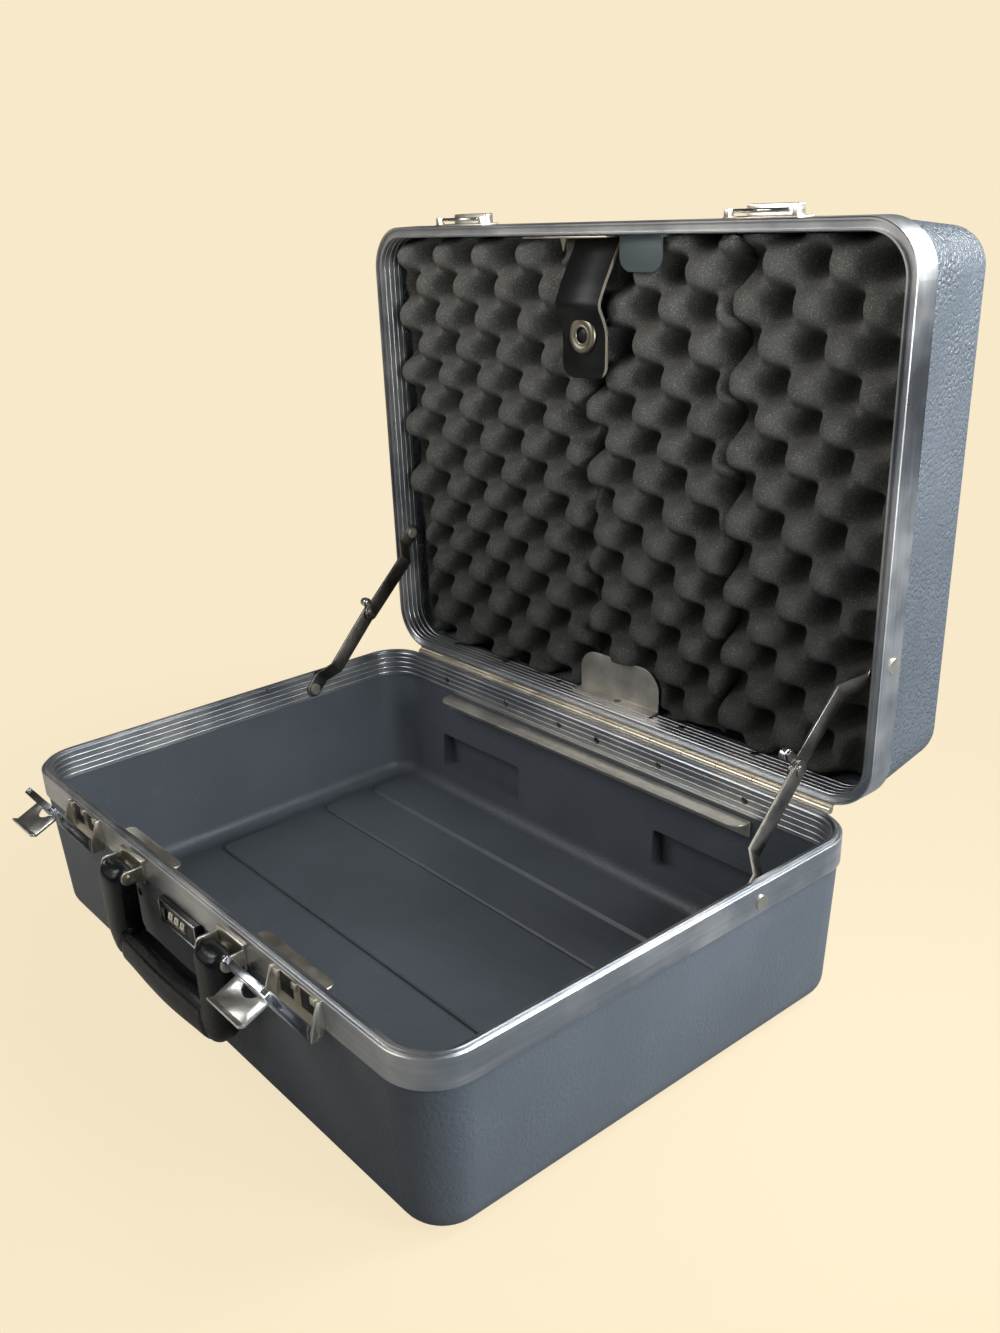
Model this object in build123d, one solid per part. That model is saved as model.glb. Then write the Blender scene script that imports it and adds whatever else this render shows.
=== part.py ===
from build123d import *
from math import asin, atan2, cos, degrees, hypot, radians, sin
import os

# Moulded attache tool case, open at rest, in millimetres
# Origin: middle of the underside of the base. +X right, -Y latch side, +Z up.

# Overall sizes, measured over the metal frame
case_width = 450.0
case_depth = 322.0
rim_height = 110.0
lid_depth = 86.0
corner_radius = 30.0
parting_gap = 0.4
lid_open_angle = 90.0

# Moulded shells
shell_wall = 3.6
base_draft = 4.0
lid_draft = 8.0
base_edge_radius = 14.0
lid_edge_radius = 16.0
shell_top_margin = 1.0
foot_length = 99.0
foot_height = 35.0
foot_spacing = 230.0
foot_corner = 6.0
base_foot_height = 37.0
lid_foot_height = 37.0
foot_stand_out = 0.6

# Raised bands across the floor of the base: width, middle and slope of each one's edge
floor_band_height = 2.6
floor_band_end_margin = 18.0
floor_band_corner = 6.0
front_band = (60.0, -8.5, 1.0)
middle_band = (23.0, 66.5, 1.2)
rear_band = (42.0, 122.0, 2.2)

# Metal frames on both rims
frame_wall = 1.4
frame_fit = 0.2
frame_web = 1.6
frame_lip = 0.8
outer_leg = 17.5
inner_leg = 19.0
lip_chamfer = 0.5
tongue_width = 1.8
tongue_height = 1.8
groove_depth = 2.4
band_clearance = 0.4

# Hinge
hinge_axis_back = 3.6
hinge_length = 400.0
base_leaf_height = 13.0
lid_leaf_height = 17.0
hinge_leaf_wall = 1.2
hinge_knuckle_radius = 2.2
hinge_pin_radius = 1.1
hinge_pin_fit = 0.1
hinge_knuckles = 14
hinge_knuckle_gap = 0.4
hinge_leaf_margin = 0.8

# Holes and fits of the fixed pins
pin_hole_fit = 0.05

# Rail on the back wall and the two brackets on the front wall
angle_wall = 1.5
rail_length = 300.0
rail_flange = 13.0
rail_leg = 11.0
rail_below_frame = 3.5
rail_corner = 9.0
bracket_length = 70.0
bracket_flange = 20.5
bracket_leg = 12.0
bracket_below_frame = 0.5
bracket_corner = 5.0
bracket_spacing = 168.0
angle_wall_gap = 0.3

# Lid stays
stay_reach = 95.0
stay_inset = 11.0
stay_width = 12.0
stay_thickness = 1.8
stay_end_radius = 6.5
stay_slack = 0.02
stay_clearance = 0.3
stay_knee_inset = 19.8
stay_joggle_start = 11.0
stay_joggle_end = 23.0
stay_pivot_radius = 2.2
stay_pivot_fit = 0.1
stay_head_radius = 4.4
stay_head_height = 1.6
stay_cap_height = 0.9
knee_head_radius = 3.2
knee_head_height = 1.0
knob_offset = 11.5
knob_back = 3.0
knob_radius = 3.5
knob_length = 5.0
knob_chamfer = 1.2
stay_head_chamfer = 0.8
knob_ear_width = 6.0

# Handle and its brackets
handle_spacing = 120.0
handle_leg_width = 25.0
handle_thickness = 15.0
handle_drop = 53.0
handle_grip = 20.0
handle_outer_radius = 17.0
handle_inner_radius = 9.0
handle_edge_chamfer = 4.2
handle_pin_radius = 1.6
handle_pin_fit = 0.2
handle_pivot_out = 10.6
handle_pivot_below_rim = 13.0
handle_end_above_pin = 5.0
ear_wall = 1.5
ear_gap = 0.5
ear_radius = 4.5
ear_plate_height = 15.0
ear_pin_overhang = 1.2

# Latches and keepers
latch_spacing = 254.0
latch_width = 44.0
latch_height = 21.0
latch_below_rim = 0.6
latch_sheet = 1.2
latch_pivot_out = 5.5
latch_pivot_above_plate = 3.2
latch_pin_radius = 1.2
latch_pin_fit = 0.15
latch_side_gap = 0.35
latch_ear_out = 8.4
latch_ear_top_out = 3.0
lug_width = 4.0
lug_out = 3.0
lug_height = 4.0
hasp_open_angle = 30.0
hasp_plate_out = 3.0
hasp_sill = 7.5
hasp_rod_height = 29.0
hasp_rod_out = 2.0
hasp_bar_start = 32.5
hasp_bar_height = 7.5
hasp_flange_foot = 5.0
hasp_flange_top = 3.2
hasp_lip = 3.0
hasp_lip_width = 30.0
lever_width = 30.0
lever_length = 19.5
lever_open_angle = 96.0
lever_knuckle_radius = 2.4
lever_notch_radius = 7.5
lever_sheet = 1.4
lever_curl = 2.6
keeper_width = 50.0
keeper_height = 15.0
keeper_sheet = 1.0
keeper_above_rim = 2.0
keeper_box_width = 34.0
keeper_box_height = 6.0
keeper_box_out = 7.0
keeper_box_above = 11.0

# Three-dial lock
lock_width = 45.0
lock_height = 15.5
lock_out = 4.0
lock_below_frame = 0.4
lock_body_width = 38.0
lock_body_height = 12.6
lock_body_depth = 16.0
lock_wall = 1.6
lock_face_chamfer = 1.0
dial_radius = 5.5
dial_width = 4.6
dial_pitch = 7.2
dial_stand_out = 1.1
dial_gap = 0.4
dial_faces = 10
dial_axle_radius = 1.2
dial_axle_fit = 0.15

# Lining and fittings of the lid
foam_front = 7.4
foam_floor_gap = 0.6
foam_skin = 2.4
foam_side_gap = 1.1
foam_seam_gap = 0.6
foam_seam_left = -15.0
foam_seam_right = 101.5
foam_stay_inset = 27.0
foam_stay_depth = 20.0
foam_stay_reach = 108.0
strap_width = 39.0
strap_thickness = 2.4
strap_middle = -7.5
strap_length = 84.0
strap_root_depth = 18.5
strap_bulge_depth = -4.0
strap_bulge_share = 0.8
strap_bend = 5.0
strap_hang_depth = 4.0
strap_corner = 9.0
ring_radius = 11.5
ring_hole = 5.6
ring_height = 2.0
ring_chamfer = 0.8
ring_drop = 59.0
ring_gap = 0.1
plate_length = 75.0
plate_depth = 15.0
plate_sheet = 1.2
plate_middle = -22.5
plate_point = 9.0
plate_point_width = 6.0
tab_width = 34.0
tab_length = 21.0
tab_sheet = 1.6
tab_middle = 35.0
tab_depth = 9.0
tab_corner = 9.0
hinge_plate_width = 74.5
hinge_plate_height = 30.0
hinge_plate_middle = 9.6
hinge_plate_foot = 9.0
hinge_plate_back = 17.0
hinge_plate_corner = 15.0
plate_gap = 0.2

# How far a cut runs past the face that it opens
overcut = 1.0

# Places that follow from the sizes above
frame_thickness = 2 * frame_wall + shell_wall + 2 * frame_fit
shell_inset = frame_wall + frame_fit
half_width = case_width / 2
half_depth = case_depth / 2
front_face = -half_depth
lid_mouth = rim_height + parting_gap
hinge_y = half_depth + hinge_axis_back
hinge_z = rim_height + parting_gap / 2
hinge_axis = Axis((0, hinge_y, hinge_z), (1, 0, 0))
base_seat = frame_web + frame_lip
lid_seat = groove_depth + frame_web
inner_face_x = half_width - frame_thickness
inner_face_y = half_depth - frame_thickness
frame_bottom_inside = rim_height - inner_leg
frame_bottom_outside = rim_height - outer_leg


def box(x0, x1, y0, y1, z0, z1):
    size = (x1 - x0, y1 - y0, z1 - z0)
    return Pos((x0 + x1) / 2, (y0 + y1) / 2, (z0 + z1) / 2) * Box(*size)


def rod_x(x0, x1, y, z, radius):
    return Pos((x0 + x1) / 2, y, z) * Rot(0, 90, 0) * Cylinder(radius, x1 - x0)


def rod_y(x, y0, y1, z, radius):
    return Pos(x, (y0 + y1) / 2, z) * Rot(90, 0, 0) * Cylinder(radius, y1 - y0)


def profile_yz(points, x0, x1):
    """Closed outline in the Y-Z plane, pulled from x0 to x1."""
    face = make_face(Polyline([(0, y, z) for y, z in points], close=True))
    return Pos(x0, 0, 0) * extrude(face, x1 - x0, dir=(1, 0, 0))


def opened(shape):
    """Swing a piece of the closed lid to the open rest pose."""
    return shape.rotate(hinge_axis, -lid_open_angle)


def mirrored(shape, side):
    """The right-hand piece, or its mirror image for the left."""
    return shape if side > 0 else mirror(shape, about=Plane.YZ)


def joined(pieces):
    body = pieces[0]
    for piece in pieces[1:]:
        body = body + piece
    return body


# Shells
def tub(inset, depth, draft, edge_radius, straight, seat):
    """Closed tub with its mouth at z = 0, straight behind the frame and then tapered."""
    width = case_width - 2 * inset
    length = case_depth - 2 * inset
    radius = corner_radius - inset
    mouth = Pos(0, 0, -seat) * RectangleRounded(width, length, radius)
    upper = extrude(mouth, -(straight - seat))
    taper = degrees(atan2(draft, depth - straight))
    shoulder = Pos(0, 0, -straight) * RectangleRounded(width, length, radius)
    lower = extrude(shoulder, amount=-(depth - straight), taper=taper)
    body = upper + lower
    rim = body.edges().group_by(Axis.Z)[0]
    return fillet(rim, edge_radius)


def moulded_foot(height, grow, back, front):
    length = foot_length - 2 * grow
    rise = foot_height - 2 * grow
    face = Plane.XZ * RectangleRounded(length, rise, foot_corner - grow)
    block = extrude(face, amount=-(back - front))
    return Pos(0, front, height) * block


def shell(depth, draft, edge_radius, seat, foot_height):
    """Moulded half with its mouth at z = 0 and its floor at z = -depth."""
    straight = inner_leg + shell_top_margin
    body = tub(shell_inset, depth, draft, edge_radius, straight, seat)
    foot_back = hinge_y + hinge_knuckle_radius + foot_stand_out
    wall_front = half_depth - shell_inset - draft
    for side in (-1, 1):
        foot = moulded_foot(foot_height, 0, foot_back, wall_front)
        body = body + Pos(side * foot_spacing / 2, 0, 0) * foot
    inner_inset = shell_inset + shell_wall
    inner_depth = depth - shell_wall
    body = body - tub(inner_inset, inner_depth, draft, edge_radius - shell_wall, straight, 0)
    for side in (-1, 1):
        pocket = moulded_foot(foot_height, shell_wall, foot_back - shell_wall, wall_front - shell_wall - draft)
        body = body - Pos(side * foot_spacing / 2, 0, 0) * pocket
    return body


def floor_band(width, middle, slope):
    length = case_width - 2 * (shell_inset + shell_wall + base_draft + floor_band_end_margin)
    face = Pos(0, middle, shell_wall) * RectangleRounded(length, width, floor_band_corner)
    band = extrude(face, floor_band_height)
    top = band.edges().group_by(Axis.Z)[-1]
    return chamfer(top, slope)


def base_shell():
    body = shell(rim_height, base_draft, base_edge_radius, base_seat, base_foot_height - rim_height)
    body = Pos(0, 0, rim_height) * body
    for width, middle, slope in (front_band, middle_band, rear_band):
        body = body + floor_band(width, middle, slope)
    return body - lock_opening() - stay_holes(base_stay_pivot())


def lid_shell():
    body = shell(lid_depth, lid_draft, lid_edge_radius, lid_seat, -lid_foot_height)
    body = Pos(0, 0, lid_mouth) * mirror(body, about=Plane.XY)
    return opened(body - stay_holes(lid_stay_pivot_closed()))


# Frames
def frame_path(z):
    """Outline of the frame, counter-clockwise from the middle of the front."""
    a = half_width - corner_radius
    b = half_depth - corner_radius
    last = (0, front_face, z)
    edges = []
    for start, x, y in ((270, a, -b), (0, a, b), (90, -a, b), (180, -a, -b)):
        arc = CenterArc((x, y, z), corner_radius, start, 90)
        edges += [Line(last, arc @ 0), arc]
        last = arc @ 1
    edges.append(Line(last, (0, front_face, z)))
    return Wire(edges)


def base_frame_section():
    tongue = frame_thickness / 2 - tongue_width / 2
    wide = frame_thickness
    inner = frame_thickness - frame_wall
    points = [(0, -outer_leg), (0, -lip_chamfer), (lip_chamfer, 0), (frame_wall, 0)]
    points += [(frame_wall, -frame_lip), (tongue, -frame_lip), (tongue, tongue_height)]
    points += [(tongue + tongue_width, tongue_height), (tongue + tongue_width, -frame_lip)]
    points += [(inner, -frame_lip), (inner, 0), (wide - lip_chamfer, 0), (wide, -lip_chamfer)]
    points += [(wide, -inner_leg), (inner, -inner_leg), (inner, -base_seat)]
    points += [(frame_wall, -base_seat), (frame_wall, -outer_leg)]
    return points


def lid_frame_section():
    wide = frame_thickness
    inner = frame_thickness - frame_wall
    points = [(0, outer_leg), (0, lip_chamfer), (lip_chamfer, 0), (frame_wall, 0)]
    points += [(frame_wall, groove_depth), (inner, groove_depth), (inner, 0)]
    points += [(wide - lip_chamfer, 0), (wide, lip_chamfer)]
    points += [(wide, inner_leg), (inner, inner_leg), (inner, lid_seat)]
    points += [(frame_wall, lid_seat), (frame_wall, outer_leg)]
    return points


def frame_ring(points, z):
    start = Plane(origin=(0, front_face, z), x_dir=(0, 1, 0), z_dir=(1, 0, 0))
    section = start * make_face(Polyline(points, close=True))
    return sweep(section, path=frame_path(z))


def base_frame():
    body = frame_ring(base_frame_section(), rim_height)
    return body - stay_holes(base_stay_pivot())


def lid_frame():
    body = frame_ring(lid_frame_section(), lid_mouth)
    return opened(body - stay_holes(lid_stay_pivot_closed()))


# Piano hinge
def hinge_leaf(up, first, height):
    """One leaf in the closed pose: up is -1 for the base and 1 for the lid."""
    pitch = hinge_length / hinge_knuckles
    edge = hinge_z + up * hinge_leaf_margin
    far = hinge_z + up * height
    low, high = min(edge, far), max(edge, far)
    leaf = box(-hinge_length / 2, hinge_length / 2, half_depth, half_depth + hinge_leaf_wall, low, high)
    web_far = hinge_z + up * hinge_knuckle_radius
    low, high = min(edge, web_far), max(edge, web_far)
    for i in range(first, hinge_knuckles, 2):
        x0 = -hinge_length / 2 + pitch * i + hinge_knuckle_gap / 2
        x1 = x0 + pitch - hinge_knuckle_gap
        web = box(x0, x1, half_depth + hinge_leaf_wall / 2, hinge_y, low, high)
        leaf = leaf + (web + rod_x(x0, x1, hinge_y, hinge_z, hinge_knuckle_radius))
    bore = hinge_pin_radius + hinge_pin_fit
    return leaf - rod_x(-hinge_length / 2, hinge_length / 2, hinge_y, hinge_z, bore)


# Angles on the inside walls
def angle_piece(length, flange, leg, corner):
    """Angle with its flange on top, its back against y = 0 and its flange towards -Y."""
    face = Pos(0, -flange / 2) * Rectangle(length, flange)
    top = Pos(0, 0, -angle_wall) * extrude(face, angle_wall)
    tips = top.edges().filter_by(Axis.Z).group_by(Axis.Y)[0]
    top = fillet(tips, corner)
    back = box(-length / 2, length / 2, -angle_wall, 0, -leg, 0)
    return top + back


def rear_rail():
    y = half_depth - shell_inset - shell_wall - angle_wall_gap - wall_lean(rail_below_frame + rail_leg)
    z = frame_bottom_inside - rail_below_frame
    return Pos(0, y, z) * angle_piece(rail_length, rail_flange, rail_leg, rail_corner)


def wall_lean(below_frame):
    """How far the tapered base wall has leaned in, at a height below the inner leg."""
    straight = inner_leg + shell_top_margin
    slope = base_draft / (rim_height - straight)
    return max(0, below_frame - shell_top_margin) * slope


def front_bracket(side):
    lean = wall_lean(bracket_below_frame + bracket_leg)
    y = half_depth - shell_inset - shell_wall - angle_wall_gap - lean
    z = frame_bottom_inside - bracket_below_frame
    piece = angle_piece(bracket_length, bracket_flange, bracket_leg, bracket_corner)
    return Pos(side * bracket_spacing / 2, -y, z) * Rot(0, 0, 180) * piece


# Lid stays
def base_stay_pivot():
    return hinge_y - stay_reach, hinge_z - stay_inset


def lid_stay_pivot_closed():
    return hinge_y - stay_reach, hinge_z + stay_inset


def lid_stay_pivot_open():
    y, z = lid_stay_pivot_closed()
    turn = radians(-lid_open_angle)
    dy, dz = y - hinge_y, z - hinge_z
    return hinge_y + dy * cos(turn) - dz * sin(turn), hinge_z + dy * sin(turn) + dz * cos(turn)


def stay_link_length():
    y0, z0 = base_stay_pivot()
    y1, z1 = lid_stay_pivot_open()
    return hypot(y1 - y0, z1 - z0) / 2 + stay_slack


def stay_holes(pivot):
    y, z = pivot
    radius = stay_pivot_radius + pin_hole_fit
    far = half_width + overcut
    near = inner_face_x - overcut
    return rod_x(near, far, y, z, radius) + rod_x(-far, -near, y, z, radius)


def stay_link(length, offset):
    """Flat link along +Y from its pivot at the origin, cranked by offset towards -X."""
    t = stay_thickness
    side = [(0, 0), (-stay_joggle_start, 0), (-stay_joggle_end, -offset), (-length, -offset)]
    line = [(x, -y) for y, x in side]
    path = [(0, -stay_end_radius)] + line[1:3] + [(-offset, length + stay_end_radius)]
    back = [(x + t, y) for x, y in reversed(path)]
    band = extrude(make_face(Polyline(path + back, close=True)), stay_width / 2, both=True)
    blank_length = length + 2 * stay_end_radius
    blank = Plane.YZ * Pos(length / 2, 0) * SlotOverall(blank_length, stay_width)
    blank = extrude(blank, offset + 2 * t, both=True)
    return band & blank


def stay_lower(side):
    y, z = base_stay_pivot()
    length = stay_link_length()
    outer = inner_face_x - band_clearance - stay_clearance
    offset = outer - stay_thickness - lower_knee_x()
    link = stay_link(length, offset)
    link = link - rod_x(-offset - stay_width, stay_width, 0, 0, stay_pivot_radius + stay_pivot_fit)
    head_x = -offset + stay_thickness
    link = link + rod_x(head_x, head_x + knee_head_height, length, 0, knee_head_radius)
    link = Pos(outer - stay_thickness, y, z) * Rot(stay_open_angle(), 0, 0) * link
    return mirrored(link, side)


def lower_knee_x():
    return half_width - stay_knee_inset


def stay_open_angle():
    y0, z0 = base_stay_pivot()
    y1, z1 = lid_stay_pivot_open()
    chord = hypot(y1 - y0, z1 - z0) / 2
    lift = degrees(asin(min(1, (stay_link_length() ** 2 - chord ** 2) ** 0.5 / stay_link_length())))
    return degrees(atan2(z1 - z0, y1 - y0)) + lift


def stay_upper(side):
    y, z = lid_stay_pivot_open()
    length = stay_link_length()
    outer = inner_face_x - band_clearance - stay_clearance
    offset = outer - lower_knee_x() + stay_clearance
    link = stay_link(length, offset)
    link = link - rod_x(-offset - stay_width, stay_width, 0, 0, stay_pivot_radius + stay_pivot_fit)
    link = link + rod_x(-offset - knee_head_height, -offset, length, 0, knee_head_radius)
    ear_y = length - knob_back
    ear = box(-offset, -offset + stay_thickness, ear_y - knob_ear_width / 2,
              ear_y + knob_ear_width / 2, -knob_offset, 0)
    ear = ear + rod_x(-offset, -offset + stay_thickness, ear_y, -knob_offset, knob_ear_width / 2)
    link = link + ear
    turn = 180 + stay_open_angle() - 2 * stay_kink()
    link = Pos(outer - stay_thickness, y, z) * Rot(turn, 0, 0) * link
    return mirrored(link, side)


def stay_kink():
    """How far each link leans off the straight line between the pivots when open."""
    y0, z0 = base_stay_pivot()
    y1, z1 = lid_stay_pivot_open()
    return stay_open_angle() - degrees(atan2(z1 - z0, y1 - y0))


def stay_knob(side):
    y, z = lid_stay_pivot_open()
    length = stay_link_length()
    outer = inner_face_x - band_clearance - stay_clearance
    offset = outer - lower_knee_x() + stay_clearance
    ear_y = length - knob_back
    knob = rod_x(-offset - knob_length, -offset, ear_y, -knob_offset, knob_radius)
    end = knob.edges().group_by(Axis.X)[0]
    knob = chamfer(end, knob_chamfer)
    turn = 180 + stay_open_angle() - 2 * stay_kink()
    knob = Pos(outer - stay_thickness, y, z) * Rot(turn, 0, 0) * knob
    return mirrored(knob, side)


def stay_rivet(pivot, side):
    y, z = pivot
    inside = inner_face_x - band_clearance - stay_clearance - stay_thickness - stay_clearance
    shank = rod_x(inside, half_width, y, z, stay_pivot_radius)
    head = rod_x(inside - stay_head_height, inside, y, z, stay_head_radius)
    head = chamfer(head.edges().group_by(Axis.X)[0], stay_head_chamfer)
    cap = rod_x(half_width, half_width + stay_cap_height, y, z, stay_head_radius)
    return mirrored(shank + head + cap, side)


# Handle
def handle_pivot():
    return front_face - handle_pivot_out, rim_height - handle_pivot_below_rim


def handle():
    y, z = handle_pivot()
    outer = handle_spacing / 2 + handle_leg_width / 2
    inner = handle_spacing / 2 - handle_leg_width / 2
    top = z + handle_end_above_pin
    bottom = z - handle_drop
    block = RectangleRounded(2 * outer, top - bottom + 2 * handle_outer_radius, handle_outer_radius)
    block = Pos(0, (top + bottom) / 2 + handle_outer_radius) * block
    cap = Pos(0, top + handle_outer_radius) * Rectangle(2 * outer, 2 * handle_outer_radius)
    window_low = bottom + handle_grip
    window_height = 2 * (top - window_low)
    window = Pos(0, window_low + window_height / 2) * RectangleRounded(2 * inner, window_height, handle_inner_radius)
    body = extrude(Plane.XZ * (block - cap - window), handle_thickness / 2, both=True)
    body = chamfer(body.edges(), handle_edge_chamfer)
    body = Pos(0, y, 0) * body
    return body - rod_x(-outer, outer, y, z, handle_pin_radius + handle_pin_fit)


def handle_bracket(side):
    y, z = handle_pivot()
    half = handle_leg_width / 2 + ear_gap + ear_wall
    middle = handle_spacing / 2
    plate = box(middle - half, middle + half, front_face - ear_wall, front_face,
                z - ear_plate_height / 2, z + ear_plate_height / 2)
    parts = [plate]
    for sign in (-1, 1):
        x0 = middle + sign * (half - ear_wall / 2)
        ear = box(x0 - ear_wall / 2, x0 + ear_wall / 2, y, front_face, z - ear_radius, z + ear_radius)
        parts.append(ear + rod_x(x0 - ear_wall / 2, x0 + ear_wall / 2, y, z, ear_radius))
    body = joined(parts) - rod_x(middle - half - overcut, middle + half + overcut, y, z, handle_pin_radius + pin_hole_fit)
    return mirrored(body, side)


def handle_pins():
    y, z = handle_pivot()
    half = handle_leg_width / 2 + ear_gap + ear_wall + ear_pin_overhang
    middle = handle_spacing / 2
    pin = rod_x(middle - half, middle + half, y, z, handle_pin_radius)
    return [pin, mirrored(pin, -1)]


# Latches
def latch_plate_bottom():
    return rim_height - latch_below_rim - latch_height


def latch_pivot():
    return front_face - latch_pivot_out, latch_plate_bottom() + latch_pivot_above_plate


def latch_base(side):
    y, z = latch_pivot()
    middle = latch_spacing / 2
    half = latch_width / 2
    low = latch_plate_bottom()
    high = low + latch_height
    body = box(middle - half, middle + half, front_face - latch_sheet, front_face, low, high)
    ear_out = front_face - latch_ear_out
    points = [(front_face, low), (ear_out, low), (ear_out, z + 2 * latch_pin_radius)]
    points += [(front_face - latch_ear_top_out, high), (front_face, high)]
    for sign in (-1, 1):
        x0 = middle + sign * (half - latch_sheet / 2) - latch_sheet / 2
        body = body + profile_yz(points, x0, x0 + latch_sheet)
    for place in (-1, 0, 1):
        x0 = middle + place * (half - latch_sheet - lug_width) - lug_width / 2
        lug = box(x0, x0 + lug_width, front_face - lug_out, front_face, high - lug_height, high)
        body = body + lug
    body = body - rod_x(middle - half - overcut, middle + half + overcut, y, z, latch_pin_radius + pin_hole_fit)
    return mirrored(body, side)


def latch_pin(side):
    y, z = latch_pivot()
    middle = latch_spacing / 2
    pin = rod_x(middle - latch_width / 2, middle + latch_width / 2, y, z, latch_pin_radius)
    return mirrored(pin, side)


def hasp_opened(shape):
    y, z = latch_pivot()
    return shape.rotate(Axis((0, y, z), (1, 0, 0)), hasp_open_angle)


def hasp_rod_place():
    """Middle of the lever's rod with the hasp upright."""
    y, z = latch_pivot()
    return y - hasp_rod_out, z + hasp_rod_height


def latch_hasp(side):
    y, z = latch_pivot()
    middle = latch_spacing / 2
    half = latch_width / 2 - latch_sheet - latch_side_gap
    out = y - hasp_plate_out
    outer = out - latch_sheet
    top = z + hasp_bar_start + hasp_bar_height
    foot = z - 2 * latch_pin_radius
    body = box(middle - half, middle + half, outer, out, foot, z + hasp_sill)
    body = body + box(middle - half, middle + half, outer, out, z + hasp_bar_start, top)
    lip = box(middle - hasp_lip_width / 2, middle + hasp_lip_width / 2, outer, out + hasp_lip, top - latch_sheet, top)
    body = body + lip
    points = [(outer, foot), (out + hasp_flange_foot, foot), (out + hasp_flange_foot, z + 2 * latch_pin_radius)]
    points += [(out + hasp_flange_top, top), (outer, top)]
    for sign in (-1, 1):
        x0 = middle + sign * (half - latch_sheet / 2) - latch_sheet / 2
        body = body + profile_yz(points, x0, x0 + latch_sheet)
    rod_y_place, rod_z_place = hasp_rod_place()
    hole = latch_pin_radius + pin_hole_fit
    body = body - rod_x(middle - half - overcut, middle + half + overcut, rod_y_place, rod_z_place, hole)
    bore = latch_pin_radius + latch_pin_fit
    body = body - rod_x(middle - half - overcut, middle + half + overcut, y, z, bore)
    return mirrored(hasp_opened(body), side)


def latch_rod(side):
    y, z = hasp_rod_place()
    middle = latch_spacing / 2
    half = latch_width / 2 - latch_sheet - latch_side_gap
    rod = rod_x(middle - half, middle + half, y, z, latch_pin_radius)
    return mirrored(hasp_opened(rod), side)


def latch_lever(side):
    y, z = hasp_rod_place()
    middle = latch_spacing / 2
    half = lever_width / 2
    face = y - lever_knuckle_radius
    tip = z - lever_length
    points = [(face + lever_sheet, z), (face, z), (face, tip + lever_curl)]
    points += [(face - lever_curl, tip), (face - lever_curl + lever_sheet, tip - lever_sheet / 2)]
    points += [(face + lever_sheet, tip + lever_curl - lever_sheet / 2)]
    plate = profile_yz(points, middle - half, middle + half)
    knuckle = rod_x(middle - half, middle + half, y, z, lever_knuckle_radius)
    body = plate + knuckle
    reach = 2 * lever_knuckle_radius
    notch = rod_y(middle, y - reach, y + reach, z, lever_notch_radius)
    body = body - notch
    body = body - rod_x(middle - half - overcut, middle + half + overcut, y, z, latch_pin_radius + latch_pin_fit)
    body = body.rotate(Axis((0, y, z), (1, 0, 0)), -lever_open_angle)
    return mirrored(hasp_opened(body), side)


def keeper(side):
    middle = latch_spacing / 2
    low = lid_mouth + keeper_above_rim
    high = low + keeper_height
    sheet = front_face - keeper_sheet
    body = box(middle - keeper_width / 2, middle + keeper_width / 2, sheet, front_face, low, high)
    box_low = low + keeper_box_above
    box_high = box_low + keeper_box_height
    half = keeper_box_width / 2
    out = front_face - keeper_box_out
    raised = box(middle - half, middle + half, out, front_face, box_low, box_high)
    inside = box(middle - half + keeper_sheet, middle + half - keeper_sheet, out + keeper_sheet, front_face,
                 box_low + keeper_sheet, box_high - keeper_sheet)
    tips = raised.edges().filter_by(Axis.Z).group_by(Axis.Y)[0]
    raised = fillet(tips, keeper_sheet)
    body = body + raised - inside
    return opened(mirrored(body, side))


# Lock
def lock_middle():
    return frame_bottom_outside - lock_below_frame - lock_height / 2


def lock_face_y():
    return front_face - lock_out


def lock_opening():
    z = lock_middle()
    fit = frame_fit
    return box(-lock_body_width / 2 - fit, lock_body_width / 2 + fit, front_face, front_face + frame_thickness,
               z - lock_body_height / 2 - fit, z + lock_body_height / 2 + fit)


def dial_axis():
    return lock_face_y() - dial_stand_out + dial_radius, lock_middle()


def lock_housing():
    z = lock_middle()
    seat = front_face + shell_inset + wall_lean(outer_leg + lock_height - inner_leg)
    plate = box(-lock_width / 2, lock_width / 2, lock_face_y(), seat - wall_lean(lock_height),
                z - lock_height / 2, z + lock_height / 2)
    outer = plate.edges().group_by(Axis.Y)[0]
    plate = chamfer(outer, lock_face_chamfer)
    body = box(-lock_body_width / 2, lock_body_width / 2, lock_face_y() + lock_wall, lock_face_y() + lock_body_depth,
               z - lock_body_height / 2, z + lock_body_height / 2)
    body = plate + body
    room = dial_pitch * 1.5 + dial_gap
    cavity = box(-room, room, lock_face_y() + lock_wall, lock_face_y() + lock_body_depth - lock_wall,
                 z - lock_body_height / 2 + lock_wall / 2, z + lock_body_height / 2 - lock_wall / 2)
    body = body - cavity
    y, z = dial_axis()
    for place in (-1, 0, 1):
        half = dial_width / 2 + dial_gap
        x = place * dial_pitch
        body = body - rod_x(x - half, x + half, y, z, dial_radius + dial_gap)
    reach = dial_axle_reach()
    return body - rod_x(-reach, reach, y, z, dial_axle_radius + pin_hole_fit)


def dial_axle_reach():
    return dial_pitch * 1.5 + dial_gap + lock_wall


def dial_axle():
    y, z = dial_axis()
    reach = dial_axle_reach()
    return rod_x(-reach, reach, y, z, dial_axle_radius)


def dial(place):
    y, z = dial_axis()
    outline = Plane.YZ * RegularPolygon(dial_radius, dial_faces)
    wheel = extrude(outline, dial_width / 2, both=True)
    wheel = wheel - rod_x(-dial_width, dial_width, 0, 0, dial_axle_radius + dial_axle_fit)
    return Pos(place * dial_pitch, y, z) * wheel


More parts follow.
